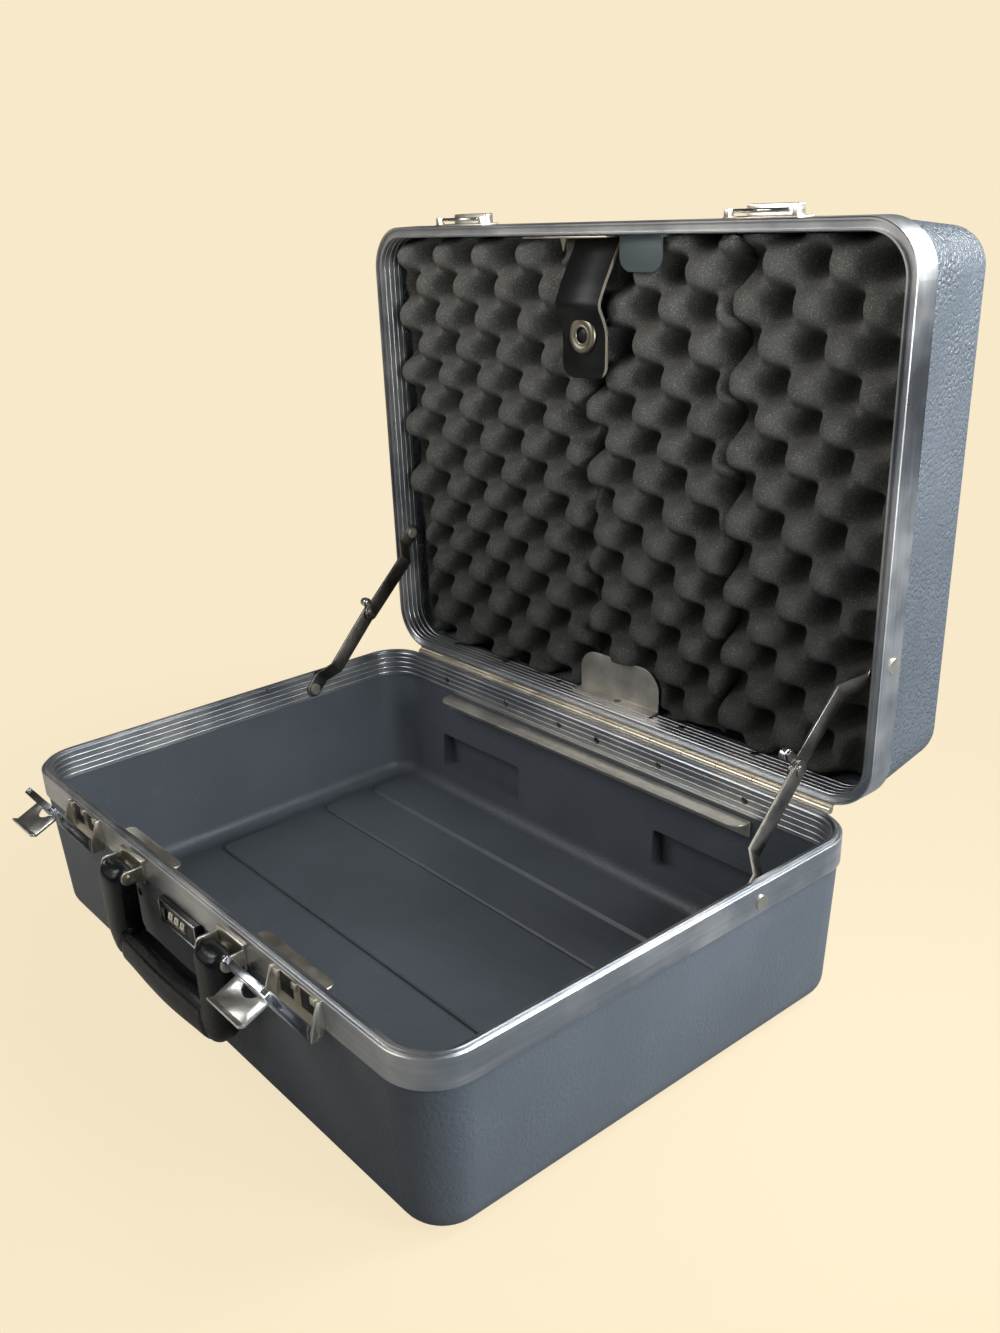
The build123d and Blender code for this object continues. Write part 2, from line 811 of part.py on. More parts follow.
# Lining and fittings of the lid
def foam_block():
    """The lining in the closed pose: the room inside the lid, less its clearances."""
    inset = frame_thickness + band_clearance + foam_side_gap
    depth = lid_depth - shell_wall - foam_floor_gap
    wall_inset = shell_inset + shell_wall + lid_draft + foam_side_gap
    edge = lid_edge_radius - shell_wall
    body = tub(inset, depth, wall_inset - inset + foam_side_gap, edge, inner_leg, foam_front)
    body = Pos(0, 0, lid_mouth) * mirror(body, about=Plane.XY)
    room = half_width - foam_stay_inset
    for side in (-1, 1):
        x0, x1 = sorted((side * room, side * half_width))
        body = body - box(x0, x1, hinge_y - foam_stay_reach, half_depth, lid_mouth, lid_mouth + foam_stay_depth)
    half = hinge_plate_width / 2 + foam_side_gap
    plate_top = inner_face_y - hinge_plate_height - foam_side_gap
    body = body - box(hinge_plate_middle - half, hinge_plate_middle + half, plate_top, half_depth,
                      lid_mouth, lid_mouth + hinge_plate_back + 2 * plate_sheet)
    front = -inner_face_y
    body = body - box(-case_width, case_width, front, front + plate_gap + 3 * plate_sheet + strap_thickness,
                      lid_mouth, lid_mouth + strap_root_depth + strap_thickness)
    tab_half = tab_width / 2 + foam_side_gap
    body = body - box(tab_middle - tab_half, tab_middle + tab_half, front, front + tab_length + 4 * tab_sheet,
                      lid_mouth, lid_mouth + tab_depth + 2 * tab_sheet)
    strap_half = strap_width / 2 + foam_side_gap
    body = body - box(strap_middle - strap_half, strap_middle + strap_half, front, front + strap_length / 2,
                      lid_mouth, lid_mouth + strap_root_depth + strap_thickness)
    return body


def foam_pad(x0, x1):
    """Pad cored out from behind, so that it weighs as little as open-cell foam."""
    cut = box(x0 + foam_seam_gap / 2, x1 - foam_seam_gap / 2, -case_depth, case_depth, 0, 2 * lid_mouth)
    pad = foam_block() & cut
    back = lid_mouth + lid_depth - shell_wall - foam_floor_gap
    front = lid_mouth + max(foam_front, foam_stay_depth, strap_root_depth + strap_thickness) + foam_skin
    low = pad.bounding_box().min
    high = pad.bounding_box().max
    lean = lid_draft + lid_edge_radius / 2 + foam_skin
    left = low.X + (lean if x0 < -half_width else foam_skin)
    right = high.X - (lean if x1 > half_width else foam_skin)
    pad = pad - box(left, right, low.Y + lean, high.Y - lean, front, back)
    near = -inner_face_y + strap_length / 2 + foam_skin
    far = hinge_y - foam_stay_reach - foam_skin
    thin = lid_mouth + foam_front + 2 * foam_skin
    return opened(pad - box(left, right, near, far, thin, back))


def strap():
    """Webbing that leaves the lid's front wall, bows out over the mouth and hangs flat."""
    front = -inner_face_y + band_clearance + plate_gap + strap_thickness / 2
    z0 = lid_mouth
    flat = z0 + strap_hang_depth
    bulge = ring_drop - ring_radius - 2 * strap_bend
    points = [(front, z0 + strap_root_depth), (front + strap_bend, z0 + strap_root_depth)]
    points += [(front + bulge * strap_bulge_share, z0 + strap_bulge_depth), (front + bulge, flat)]
    points += [(front + strap_length, flat)]
    centre = FilletPolyline(*points, radius=strap_bend)
    outline = Plane.YZ * make_face(offset(centre, strap_thickness / 2, side=Side.BOTH))
    band = extrude(outline, strap_width / 2, both=True)
    tip = front + strap_length + strap_thickness / 2
    blank = Pos(0, tip - case_depth / 2, z0) * RectangleRounded(strap_width, case_depth, strap_corner)
    band = band & extrude(blank, strap_root_depth + strap_thickness, both=True)
    return opened(Pos(strap_middle, 0, 0) * band)


def strap_ring():
    y = -inner_face_y + ring_drop
    z = lid_mouth + strap_hang_depth - strap_thickness / 2 - ring_gap
    body = Pos(strap_middle, y, z - ring_height / 2) * Cylinder(ring_radius, ring_height)
    body = chamfer(body.edges().group_by(Axis.Z)[0], ring_chamfer)
    body = body - Pos(strap_middle, y, z) * Cylinder(ring_hole, 4 * ring_height)
    return opened(body)


def strap_plate():
    y = -inner_face_y + band_clearance + plate_gap
    z = lid_mouth + frame_lip
    half = plate_length / 2
    body = box(plate_middle - half, plate_middle + half, y, y + plate_sheet, z, z + plate_depth)
    point = [(plate_middle - plate_point_width / 2, y), (plate_middle + plate_point_width / 2, y)]
    point.append((plate_middle, y + plate_point))
    face = make_face(Polyline([(a, b, z) for a, b in point], close=True))
    return opened(body + extrude(face, plate_sheet, dir=(0, 0, 1)))


def strap_tab():
    y = -inner_face_y + band_clearance + plate_gap
    z = lid_mouth + tab_depth
    body = box(tab_middle - tab_width / 2, tab_middle + tab_width / 2, y, y + tab_length, z, z + tab_sheet)
    ends = body.edges().filter_by(Axis.Z).group_by(Axis.Y)[-1]
    body = fillet(ends, tab_corner)
    foot = box(tab_middle - tab_width / 2, tab_middle + tab_width / 2, y, y + tab_sheet, z, z + tab_depth)
    return opened(body + foot)


def hinge_plate():
    y = inner_face_y - band_clearance - plate_gap
    z = lid_mouth + hinge_plate_back
    half = hinge_plate_width / 2
    body = box(hinge_plate_middle - half, hinge_plate_middle + half, y - hinge_plate_height, y, z, z + plate_sheet)
    ends = body.edges().filter_by(Axis.Z).group_by(Axis.Y)[0]
    body = fillet(ends, hinge_plate_corner)
    foot = box(hinge_plate_middle - half, hinge_plate_middle + half, y - plate_sheet, y,
               z - hinge_plate_foot, z + plate_sheet)
    return opened(body + foot)


def write(name, shape):
    solids = shape if isinstance(shape, list) else [shape]
    flat = []
    for piece in solids:
        flat += list(piece.solids())
    part = flat[0] if len(flat) == 1 else Compound(flat)
    part.label = name
    export_step(part, os.path.join("parts", name + ".step"))


def main():
    os.makedirs("parts", exist_ok=True)
    write("base_shell", base_shell())
    write("base_frame", base_frame())
    write("base_hinge_leaf", hinge_leaf(-1, 0, base_leaf_height))
    write("lid_hinge_leaf", opened(hinge_leaf(1, 1, lid_leaf_height)))
    write("hinge_pin", rod_x(-hinge_length / 2, hinge_length / 2, hinge_y, hinge_z, hinge_pin_radius))
    write("rear_rail", rear_rail())
    write("lid_shell", lid_shell())
    write("lid_frame", lid_frame())
    write("handle", handle())
    write("handle_pins", handle_pins())
    write("lock_housing", lock_housing())
    write("dial_axle", dial_axle())
    for i in range(3):
        write("dial_" + str(i + 1), dial(i - 1))
    for side, name in ((-1, "left"), (1, "right")):
        write("front_bracket_" + name, front_bracket(side))
        write("handle_bracket_" + name, handle_bracket(side))
        write("latch_base_" + name, latch_base(side))
        write("latch_pin_" + name, latch_pin(side))
        write("latch_hasp_" + name, latch_hasp(side))
        write("latch_rod_" + name, latch_rod(side))
        write("latch_lever_" + name, latch_lever(side))
        write("keeper_" + name, keeper(side))
        write("stay_lower_" + name, stay_lower(side))
        write("stay_upper_" + name, stay_upper(side))
        write("stay_knob_" + name, stay_knob(side))
        write("base_stay_rivet_" + name, stay_rivet(base_stay_pivot(), side))
        write("lid_stay_rivet_" + name, opened(stay_rivet(lid_stay_pivot_closed(), side)))
    write("foam_left", foam_pad(-case_width, foam_seam_left))
    write("foam_centre", foam_pad(foam_seam_left, foam_seam_right))
    write("foam_right", foam_pad(foam_seam_right, case_width))
    write("strap", strap())
    write("strap_ring", strap_ring())
    write("strap_plate", strap_plate())
    write("strap_tab", strap_tab())
    write("hinge_plate", hinge_plate())


main()
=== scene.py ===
import math
import bmesh
import bpy
import numpy as np
from mathutils import Matrix, Vector


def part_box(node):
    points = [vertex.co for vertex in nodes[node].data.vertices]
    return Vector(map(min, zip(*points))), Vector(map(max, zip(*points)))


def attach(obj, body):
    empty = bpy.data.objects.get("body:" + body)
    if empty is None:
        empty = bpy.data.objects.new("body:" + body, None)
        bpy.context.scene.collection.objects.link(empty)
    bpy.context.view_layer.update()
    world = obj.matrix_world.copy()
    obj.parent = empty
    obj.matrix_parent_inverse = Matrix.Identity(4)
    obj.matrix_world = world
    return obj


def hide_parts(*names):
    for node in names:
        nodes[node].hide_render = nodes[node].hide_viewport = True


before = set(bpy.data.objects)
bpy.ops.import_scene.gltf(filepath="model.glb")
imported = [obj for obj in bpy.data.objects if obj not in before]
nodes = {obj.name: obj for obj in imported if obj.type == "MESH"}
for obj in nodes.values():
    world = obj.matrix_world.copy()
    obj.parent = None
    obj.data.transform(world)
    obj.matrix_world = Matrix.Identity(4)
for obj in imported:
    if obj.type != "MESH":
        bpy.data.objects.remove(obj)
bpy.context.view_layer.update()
sides = ("left", "right")

# Photograph and camera; lengths are metres and angles degrees where no name says otherwise
image_width = 1000
image_height = 1333
camera_place = Vector((0.57557, -0.40048, 0.45854))
camera_azimuth = 52.713
camera_elevation = 23.362
camera_roll = -3.378
camera_near = 0.01
focal_pixels = 1229.76
centre_pixel_x = 449.38
centre_pixel_y = 722.17
sensor_millimetres = 36.0

# Backdrop, and the floor that glows in its colour, fully so away from the object
backdrop_colour = (248, 233, 202)
floor_half = 6.0
floor_drop = 0.0002
floor_glow_near = 0.90
floor_fade_from = 0.26
floor_fade_to = 0.62

# The floor in the object's own reflections: pale on the left, dark close to the right, pale beyond
floor_from_x = -0.15
floor_to_x = 0.90
floor_stops = [(0.0, (0.66, 0.62, 0.55, 1.0)), (0.45, (0.12, 0.13, 0.14, 1.0)),
               (0.60, (0.14, 0.15, 0.17, 1.0)), (1.0, (0.60, 0.66, 0.74, 1.0))]

# Light of the room
room_bright_side = (0.4, 1.0, 0.15)
room_lobe = 3.0
room_dark = 0.06
room_bright = 0.30
room_warm = (1.0, 0.96, 0.90, 1.0)
room_cool = (0.86, 0.93, 1.0, 1.0)

# Lamps: place, aim, size, power in watts and colour
cool = (0.86, 0.93, 1.0)
neutral = (1.0, 1.0, 1.0)
warm = (1.0, 0.98, 0.95)
lamps = {
    "window": ((1.10, 0.20, 0.60), (-0.1, 0.0, 0.1), (0.4, 0.4), 5.6, cool),
    "window_low": ((1.30, -0.30, 0.50), (0.0, 0.0, 0.1), (0.6, 0.6), 1.9, (0.92, 0.96, 1.0)),
    "inner_wall": ((0.62, 0.10, 0.34), (-0.22, -0.02, 0.08), (0.2, 0.2), 2.0, neutral),
    "lid_side": ((0.50, 0.48, 0.72), (0.225, 0.25, 0.40), (0.3, 0.3), 8.0, (0.94, 0.98, 1.0)),
    "above_foam": ((-0.45, -0.45, 0.80), (0.0, 0.18, 0.30), (0.3, 0.3), 2.2, neutral),
    "room_left": ((-0.8, -1.0, 0.7), (0.0, 0.0, 0.15), (0.8, 0.8), 1.0, warm),
    "room_front": ((-0.2, -1.1, 0.9), (0.0, 0.0, 0.2), (0.6, 0.6), 3.3, warm),
}

# Case: its half sizes and corner, the rims, the hinge pin and the metal bands
case_half_width = 0.225
case_half_depth = 0.161
case_corner = 0.030
rim_z = 0.110
lid_rim_gap = 0.0004
hinge_y = 0.1646
hinge_z = 0.1102
band_thick = 0.0068

# Foam: its bumps, the unevenness of their rows, and its soft edges
foam_pitch_x = 0.0440
foam_pitch_z = 0.0418
foam_relief = 0.028
foam_fullness = 0.75
foam_step = 0.0018
foam_peak_behind_mouth = 0.0078
foam_corner = 0.022
foam_edge_round = 0.006
foam_edge_reach = 0.007
foam_phase = {"foam_left": (-0.160, 0.4155), "foam_centre": (0.0123, 0.3020), "foam_right": (0.131, 0.4115)}
foam_seeds = {"foam_left": 11, "foam_centre": 12, "foam_right": 13}
foam_bend_seed = 50
foam_swell_seed = 9
foam_bend_x = 0.0030
foam_bend_z = 0.0024
foam_swell = 0.0012
foam_swell_stretch = 0.7
foam_shear_below = 0.300
foam_shear = 0.17
foam_back_share = 0.92
foam_back_gap = 0.001
wave_count = 7
wave_pace = 55
wave_turn = 6.28
wave_least = 0.3
wave_divisor = 4

# Rooms in the foam for what hangs or folds in front of it, their depths behind the lid's mouth
pocket_fade = 0.006
pocket_margin = 0.001
plate_pocket_top = 0.004
plate_pocket_gap = 0.002
strap_root_height = 0.026
strap_root_pocket = 0.0235
strap_pocket = 0.0085
tab_pocket_below = 0.002
tab_pocket_above = 0.01
tab_pocket = 0.0135
strap_plate_low = (-0.062, 0.419)
strap_plate_high = (0.018, 0.45)
strap_plate_pocket = 0.019
stay_pocket = 0.0235
stay_pocket_x = 0.1975
stay_pocket_x_fade = 0.004
stay_pocket_top = 0.233
stay_pocket_top_fade = 0.006

# Rivets: their heads, their rows, and where their feet lie, in the lid as depths behind its mouth
rivet_head = 0.0027
rivet_rise = 0.0008
rivet_rings = 5
rivet_dome_share = 0.93
rivet_sides = 20
base_rivets_x = (-0.1522, -0.0807, -0.0227, 0.0153, 0.0733, 0.1448)
base_rivet_drop = 0.0113
base_rivet_behind_leaf = 0.0046
lid_rivets_x = (-0.1677, -0.1077, -0.0477, 0.0123, 0.0723, 0.1323)
lid_rivet_y = 0.0134
plate_rivet_z = 0.0012
keeper_rivets_x = (-0.1356, -0.118, 0.118, 0.1356)
keeper_rivet_y = 0.0127
front_button = (-0.0664, -0.1588, 0.0742)
front_button_head = 0.0034
front_button_rise = 0.0012

# Ribs along the inside of the metal bands; the profile is rise and half width in shares
rib_rise = 0.00035
rib_half_width = 0.0007
rib_sink = 0.0001
rib_profile = [(0.8, -0.6), (1.0, 0.0), (0.8, 0.6)]
rib_first = 0.0040
rib_pitch = 0.0042
rib_count = 4
corner_steps = 14

# Edges of the sheet metal
weld_distance = 0.000002
flat_angle = 0.5
bevel_angle = 35
crease_angle = 40
edge_bevel = 0.0003

# Handle: middle line, and half sizes of its leg and grip
handle_leg_x = 0.060
handle_path_radius = 0.014
handle_leg_half = 0.0124
handle_grip_half = 0.0112
handle_half_thick = 0.0090
handle_swell = 0.0012
handle_sag = 0.0055
handle_belly = 0.0020
handle_out = 0.0012
handle_squareness = 2.7
handle_sides = 28
handle_leg_steps = 14
handle_turn_steps = 12
handle_top_gap = 0.0004
handle_top_round = 0.008
handle_top_narrow = 0.25
handle_groove = 0.0013
handle_groove_turn = 66.0
handle_groove_spread = 5.0
handle_blend_turn = 16.0
handle_rib_count = 3
handle_rib_pitch = 0.0036
handle_rib_drop = 0.024
handle_rib_half = (0.0005, 0.0007, 0.0085)

# Strap: its middle line as distance behind the lid's mouth, and height
strap_line = [(0.0185, 0.4272), (0.0140, 0.4190), (0.0075, 0.4080), (0.0010, 0.3960), (-0.0018, 0.3880),
              (0.0012, 0.3810), (0.0040, 0.3735), (0.0044, 0.3620), (0.0040, 0.3432)]
strap_steps = 60
strap_half_thick = 0.0012
strap_edge_round = 0.0005
strap_tip_corner = 0.009
strap_crease = 50
strap_edge_facing = 0.6

# Snap: outlines of its ring and socket in shares of the ring's radius and thickness
snap_ring = [(1, 0), (1, 0.35), (0.93, 0.75), (0.82, 1), (0.70, 0.97), (0.60, 0.72), (0.55, 0.70),
             (0.49, 0.92), (0.43, 0.80), (0.41, 0), (1, 0)]
snap_socket = [(0.405, 0), (0.405, 0.1), (0.05, 0.12)]

# Latches: coil spring, near-black patches of painted shade for the openings of the base plate, and lugs and
# bar of the keeper
spring_turns = 8
spring_turn_steps = 14
spring_length = 0.0125
spring_radius = 0.0018
spring_wire = 0.00042
spring_wire_sides = 6
# Painted shade: near-black patches standing for the dark inside of the base plate's openings
hole_shade_shift = 0.0098
hole_shade_drop = 0.0068
hole_shade_out = 0.00125
hole_shade_half = (0.0062, 0.0001, 0.0058)
keeper_box_y = 0.0028
keeper_lug_x = 0.0226
keeper_lug_drop = 0.0042
keeper_lug_half = (0.0016, 0.0026, 0.0026)
keeper_bar_half = 0.0185
keeper_bar_radius = 0.0011
keeper_bar_out = 0.0012
keeper_bar_drop = 0.0030
keeper_bar_sides = 16

# Lock: the thin frame round it, its button, and the numbers of its dials, each dial turned on by the shift
lock_frame_inset = 0.0006
lock_frame_half = 0.0004
lock_frame_lap = 0.0002
lock_frame_rise = 0.0003
lock_button_place = Vector((-0.0162, -0.0003, 0))
lock_button_half = (0.0030, 0.0009, 0.0040)
lock_button_bevel = 0.45
dial_radius = 0.0055
dial_faces = 10
dial_shift = 3
digit_size = 0.0034
digit_rise = 0.00006

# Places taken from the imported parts
mouth_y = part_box("lid_frame")[0].y
base_low, base_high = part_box("base_frame")
foam_low, foam_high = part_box("foam_centre")
plate_low, plate_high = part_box("hinge_plate")
strap_low, strap_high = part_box("strap")
tab_low, tab_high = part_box("strap_tab")
band_inner_y = base_high.y - band_thick
lid_floor_z = hinge_z + hinge_y - case_half_depth + band_thick
lid_top_inner_z = hinge_z + hinge_y + case_half_depth - band_thick


def linear(rgb):
    """A colour of 0 to 255 steps as Blender's linear red, green and blue."""
    out = []
    for value in rgb:
        c = value / 255
        out.append(c / 12.92 if c <= 0.04045 else ((c + 0.055) / 1.055) ** 2.4)
    return tuple(out) + (1.0,)


# Materials
class Wiring:
    """Builds a node tree from sources, each a pair of a node and one of its outputs."""

    def __init__(self, tree, place):
        self.tree = tree
        self.tree.nodes.clear()
        self.place = self.source("ShaderNodeTexCoord", {}, place)

    def source(self, kind, inputs, output=0, **settings):
        """A new node; each input is a source, or a number, colour or vector to set."""
        node = self.tree.nodes.new(kind)
        for name, value in settings.items():
            setattr(node, name, value)
        for socket, value in inputs.items():
            if isinstance(value, tuple) and hasattr(value[0], "outputs"):
                self.tree.links.new(value[0].outputs[value[1]], node.inputs[socket])
            else:
                node.inputs[socket].default_value = value
        return node, output

    def mapped(self, stretch):
        return self.source("ShaderNodeMapping", {"Vector": self.place, "Scale": stretch})

    def noise(self, scale, detail=3.0, rough=0.5, stretch=(1, 1, 1), output="Fac"):
        inputs = {"Vector": self.mapped(stretch), "Scale": scale, "Detail": detail, "Roughness": rough}
        return self.source("ShaderNodeTexNoise", inputs, output)

    def cells(self, scale, feature="F1", warp=0.0, warp_scale=0.0):
        """Cell pattern, its walls bent by a noise of warp metres."""
        place = self.mapped((1, 1, 1))
        if warp:
            noise = self.noise(warp_scale, detail=2.0, output="Color")
            centred = self.vector_maths("SUBTRACT", {0: noise, 1: (0.5, 0.5, 0.5)})
            shift = self.vector_maths("SCALE", {0: centred, "Scale": warp})
            place = self.vector_maths("ADD", {0: place, 1: shift})
        inputs = {"Vector": place, "Scale": scale}
        return self.source("ShaderNodeTexVoronoi", inputs, "Distance", feature=feature)

    def ramp(self, factor, stops):
        """Colours along a factor, from stops of a position and a colour."""
        node, output = self.source("ShaderNodeValToRGB", {"Fac": factor}, "Color")
        points = node.color_ramp.elements
        while len(points) < len(stops):
            points.new(0.5)
        for point, (position, colour) in zip(points, stops):
            point.position = position
            point.color = colour
        return node, output

    def tones(self, factor, *stops):
        """Ramp of colours of 0 to 255 steps."""
        return self.ramp(factor, [(position, linear(rgb)) for position, rgb in stops])

    def greys(self, factor, *stops):
        """Ramp of greys of 0 to 1."""
        return self.ramp(factor, [(position, (grey, grey, grey, 1)) for position, grey in stops])

    def line(self, value, start, end):
        """A number that follows value in a straight line between two points, and is level past them."""
        inputs = {"Value": value, "From Min": start[0], "To Min": start[1],
                  "From Max": end[0], "To Max": end[1]}
        return self.source("ShaderNodeMapRange", inputs, "Result")

    def mix(self, factor, a, b, blend="MIX"):
        return self.source("ShaderNodeMix", {0: factor, 6: a, 7: b}, 2, data_type="RGBA", blend_type=blend)

    def maths(self, operation, a, b):
        return self.source("ShaderNodeMath", {0: a, 1: b}, operation=operation)

    def vector_maths(self, operation, inputs, output="Vector"):
        return self.source("ShaderNodeVectorMath", inputs, output, operation=operation)

    def axis(self, name):
        return self.source("ShaderNodeSeparateXYZ", {"Vector": self.place}, name)

    def mix_shaders(self, factor, a, b):
        return self.source("ShaderNodeMixShader", {0: factor, 1: a, 2: b})

    def for_camera(self, hidden, shown):
        """One shader for the camera, also through glass, and another for light and reflections."""
        ray = self.tree.nodes.new("ShaderNodeLightPath")
        seen = self.maths("MAXIMUM", (ray, "Is Camera Ray"), (ray, "Is Transmission Ray"))
        return self.mix_shaders(seen, hidden, shown)


class Skin(Wiring):
    """A material, wired from object coordinates."""

    def __init__(self, name):
        self.material = bpy.data.materials.new(name)
        self.material.use_nodes = True
        super().__init__(self.material.node_tree, "Object")

    def bump(self, strength, *layers):
        """Stacked bumps: each layer is a source and its height in metres."""
        inputs = {}
        for height, distance in layers:
            inputs.update({"Strength": strength, "Distance": distance, "Height": height})
            normal = self.source("ShaderNodeBump", inputs, "Normal")
            inputs["Normal"] = normal
        return normal

    def finished(self, shader):
        self.source("ShaderNodeOutputMaterial", {"Surface": shader})
        return self.material

    def principled(self, inputs):
        return self.finished(self.source("ShaderNodeBsdfPrincipled", inputs))


def shell_material(name, grain_height, grain_scale):
    """Slate moulded plastic with a leather-like grain, rubbed pale here and there."""
    skin = Skin(name)
    wear = skin.noise(9.0, detail=5.0, rough=0.6)
    tone = skin.tones(wear, (0.3, (76, 82, 88)), (0.7, (88, 94, 101)))
    dust = skin.greys(skin.noise(60.0, detail=6.0, rough=0.7), (0.62, 0.0), (0.78, 0.35))
    grain = skin.cells(grain_scale, "DISTANCE_TO_EDGE", warp=0.003, warp_scale=220.0)
    crease = skin.greys(grain, (0.0, 0.0), (0.3, 1.0))
    patch = skin.greys(skin.noise(35.0), (0.35, 0.35), (0.65, 1.0))
    relief = skin.maths("MULTIPLY", crease, patch)
    fine = skin.noise(900.0, detail=2.0)
    return skin.principled({"Base Color": skin.mix(dust, tone, linear((120, 124, 128))),
                            "Roughness": skin.greys(wear, (0.3, 0.40), (0.75, 0.52)),
                            "Normal": skin.bump(0.6, (relief, grain_height), (fine, 0.00008))})


def frame_material(name, along):
    """Drawn aluminium: long streaks along the band, dull patches and fine scratches."""
    skin = Skin(name)
    streak = skin.noise(320.0, detail=5.0, rough=0.65, stretch=along)
    drawn = skin.tones(streak, (0.3, (170, 171, 173)), (0.7, (226, 226, 224)))
    patch = skin.noise(14.0, detail=4.0, rough=0.6)
    worn = skin.tones(patch, (0.45, (168, 174, 182)), (0.62, (228, 227, 224)))
    nick = skin.cells(95.0, "DISTANCE_TO_EDGE", warp=0.03, warp_scale=30.0)
    nicks = skin.greys(nick, (0.0, 0.0), (0.012, 1.0))
    scratch = skin.noise(500.0, detail=2.0, stretch=along)
    return skin.principled({"Base Color": skin.mix(0.5, drawn, worn), "Metallic": 1.0,
                            "Roughness": skin.greys(patch, (0.3, 0.26), (0.7, 0.46)),
                            "Normal": skin.bump(0.5, (scratch, 0.00006), (patch, 0.0002), (nicks, 0.00002))})


def steel_material(name, low, high, rough_low, rough_high, metal=1.0):
    """Plated sheet steel with faint clouding and scratches."""
    skin = Skin(name)
    cloud = skin.noise(45.0, detail=5.0, rough=0.6)
    scratch = skin.noise(700.0, detail=2.0, stretch=(0.1, 0.6, 1.0))
    return skin.principled({"Base Color": skin.tones(cloud, (0.35, low), (0.65, high)), "Metallic": metal,
                            "Roughness": skin.greys(cloud, (0.3, rough_low), (0.7, rough_high)),
                            "Normal": skin.bump(0.5, (scratch, 0.00003), (cloud, 0.00012))})


def gloss_material(name, low, high, rough, grain_scale, grain_height):
    """Dark glossy moulding or coated webbing."""
    skin = Skin(name)
    cloud = skin.noise(30.0, detail=4.0, rough=0.6)
    grain = skin.cells(grain_scale)
    return skin.principled({"Base Color": skin.tones(cloud, (0.35, low), (0.7, high)),
                            "Roughness": skin.greys(cloud, (0.3, rough - 0.06), (0.7, rough + 0.08)),
                            "Specular IOR Level": 0.35,
                            "Normal": skin.bump(0.5, (grain, grain_height))})


def foam_material():
    """Charcoal open-cell foam, matt, with painted shade darkening its pits, painted light making it brighter
    at the top and darker low down, and painted glints of its cut cell walls.
    """
    skin = Skin("charcoal_foam")
    cloud = skin.noise(40.0, detail=4.0, rough=0.6)
    tone = skin.tones(cloud, (0.3, (90, 90, 86)), (0.7, (103, 102, 98)))
    # Painted glints: scattered pale specks in the colour where cut cell walls would catch the light.
    spark = skin.cells(1150.0)
    painted_glint_dots = skin.greys(spark, (0.15, 1.0), (0.42, 0.0))
    painted_glint_choice = skin.greys(skin.noise(700.0, detail=2.0), (0.42, 0.0), (0.56, 1.0))
    tone = skin.mix(skin.maths("MULTIPLY", painted_glint_dots, painted_glint_choice), tone, linear((160, 158, 150)))
    # Painted shade: darker deep in the pits between the bumps. Painted light: brighter towards the top and
    # darker low down.
    peak_y = mouth_y + foam_peak_behind_mouth
    depth = skin.line(skin.axis("Y"), (peak_y + 0.50 * foam_relief, 1.0), (peak_y + 0.95 * foam_relief, 0.45))
    height = skin.line(skin.axis("Z"), (foam_low.z, 0.42), (foam_high.z, 1.45))
    painted_light_and_shade = skin.maths("MULTIPLY", depth, height)
    pores = skin.noise(1100.0, detail=2.0, rough=0.7)
    return skin.principled({"Base Color": skin.mix(1.0, tone, painted_light_and_shade, "MULTIPLY"),
                            "Roughness": 0.95, "Specular IOR Level": 0.2,
                            "Normal": skin.bump(0.8, (pores, 0.0007), (spark, 0.0004))})


def plain_material(name, colour, rough):
    skin = Skin(name)
    return skin.principled({"Base Color": linear(colour), "Roughness": rough,
                            "Normal": skin.bump(0.4, (skin.noise(400.0), 0.00004))})


base_skin = shell_material("slate_plastic", 0.00025, 260.0)
lid_skin = shell_material("slate_plastic_lid", 0.0013, 270.0)
band_skin = frame_material("band_aluminium", (0.03, 0.03, 1.0))
lid_band_skin = frame_material("lid_band_aluminium", (0.03, 1.0, 0.03))
steel_skin = steel_material("plated_steel", (208, 200, 184), (236, 229, 214), 0.28, 0.44)
plate_skin = steel_material("dull_plate", (176, 172, 162), (206, 201, 190), 0.34, 0.50, metal=0.7)
chrome_skin = steel_material("bright_chrome", (226, 224, 218), (244, 242, 236), 0.16, 0.28)
stay_skin = steel_material("stay_steel", (96, 92, 86), (148, 143, 134), 0.24, 0.40)
rivet_skin = steel_material("rivet_steel", (92, 88, 82), (146, 140, 130), 0.24, 0.38)
snap_skin = steel_material("snap_steel", (120, 114, 102), (172, 164, 148), 0.24, 0.42)
hasp_skin = steel_material("hasp_steel", (150, 152, 156), (206, 208, 210), 0.12, 0.26)
handle_skin = gloss_material("handle_black", (10, 13, 14), (17, 20, 21), 0.24, 380.0, 0.00016)
strap_skin = gloss_material("strap_black", (10, 11, 12), (18, 19, 20), 0.40, 900.0, 0.00005)
lock_skin = gloss_material("lock_black", (24, 25, 26), (36, 37, 38), 0.22, 700.0, 0.00004)
foam_skin = foam_material()
dial_skin = plain_material("dial_ivory", (216, 211, 194), 0.4)
edge_skin = plain_material("cut_edge", (150, 142, 124), 0.8)
tab_skin = plain_material("tab_grey", (92, 104, 106), 0.45)
# Near-black for the printed dial numbers and the snap's socket, and also painted shade in the latch plates'
# openings
mark_and_shade_skin = plain_material("dial_mark_and_painted_shade", (30, 30, 32), 0.5)

# Which node has which skin, by its name or by how its name starts; the rest is plated steel
skins = {"base_shell": base_skin, "lid_shell": lid_skin, "base_frame": band_skin, "lid_frame": lid_band_skin,
         "strap": strap_skin, "strap_tab": tab_skin, "handle": handle_skin, "lock_housing": lock_skin,
         "hinge_plate": plate_skin, "rear_rail": plate_skin, "dial_axle": steel_skin}
skins_by_start = {"foam": foam_skin, "dial_": dial_skin, "latch_lever": chrome_skin, "stay_knob": chrome_skin,
                  "strap_ring": chrome_skin, "latch_hasp": hasp_skin, "latch_rod": hasp_skin,
                  "stay_": stay_skin}


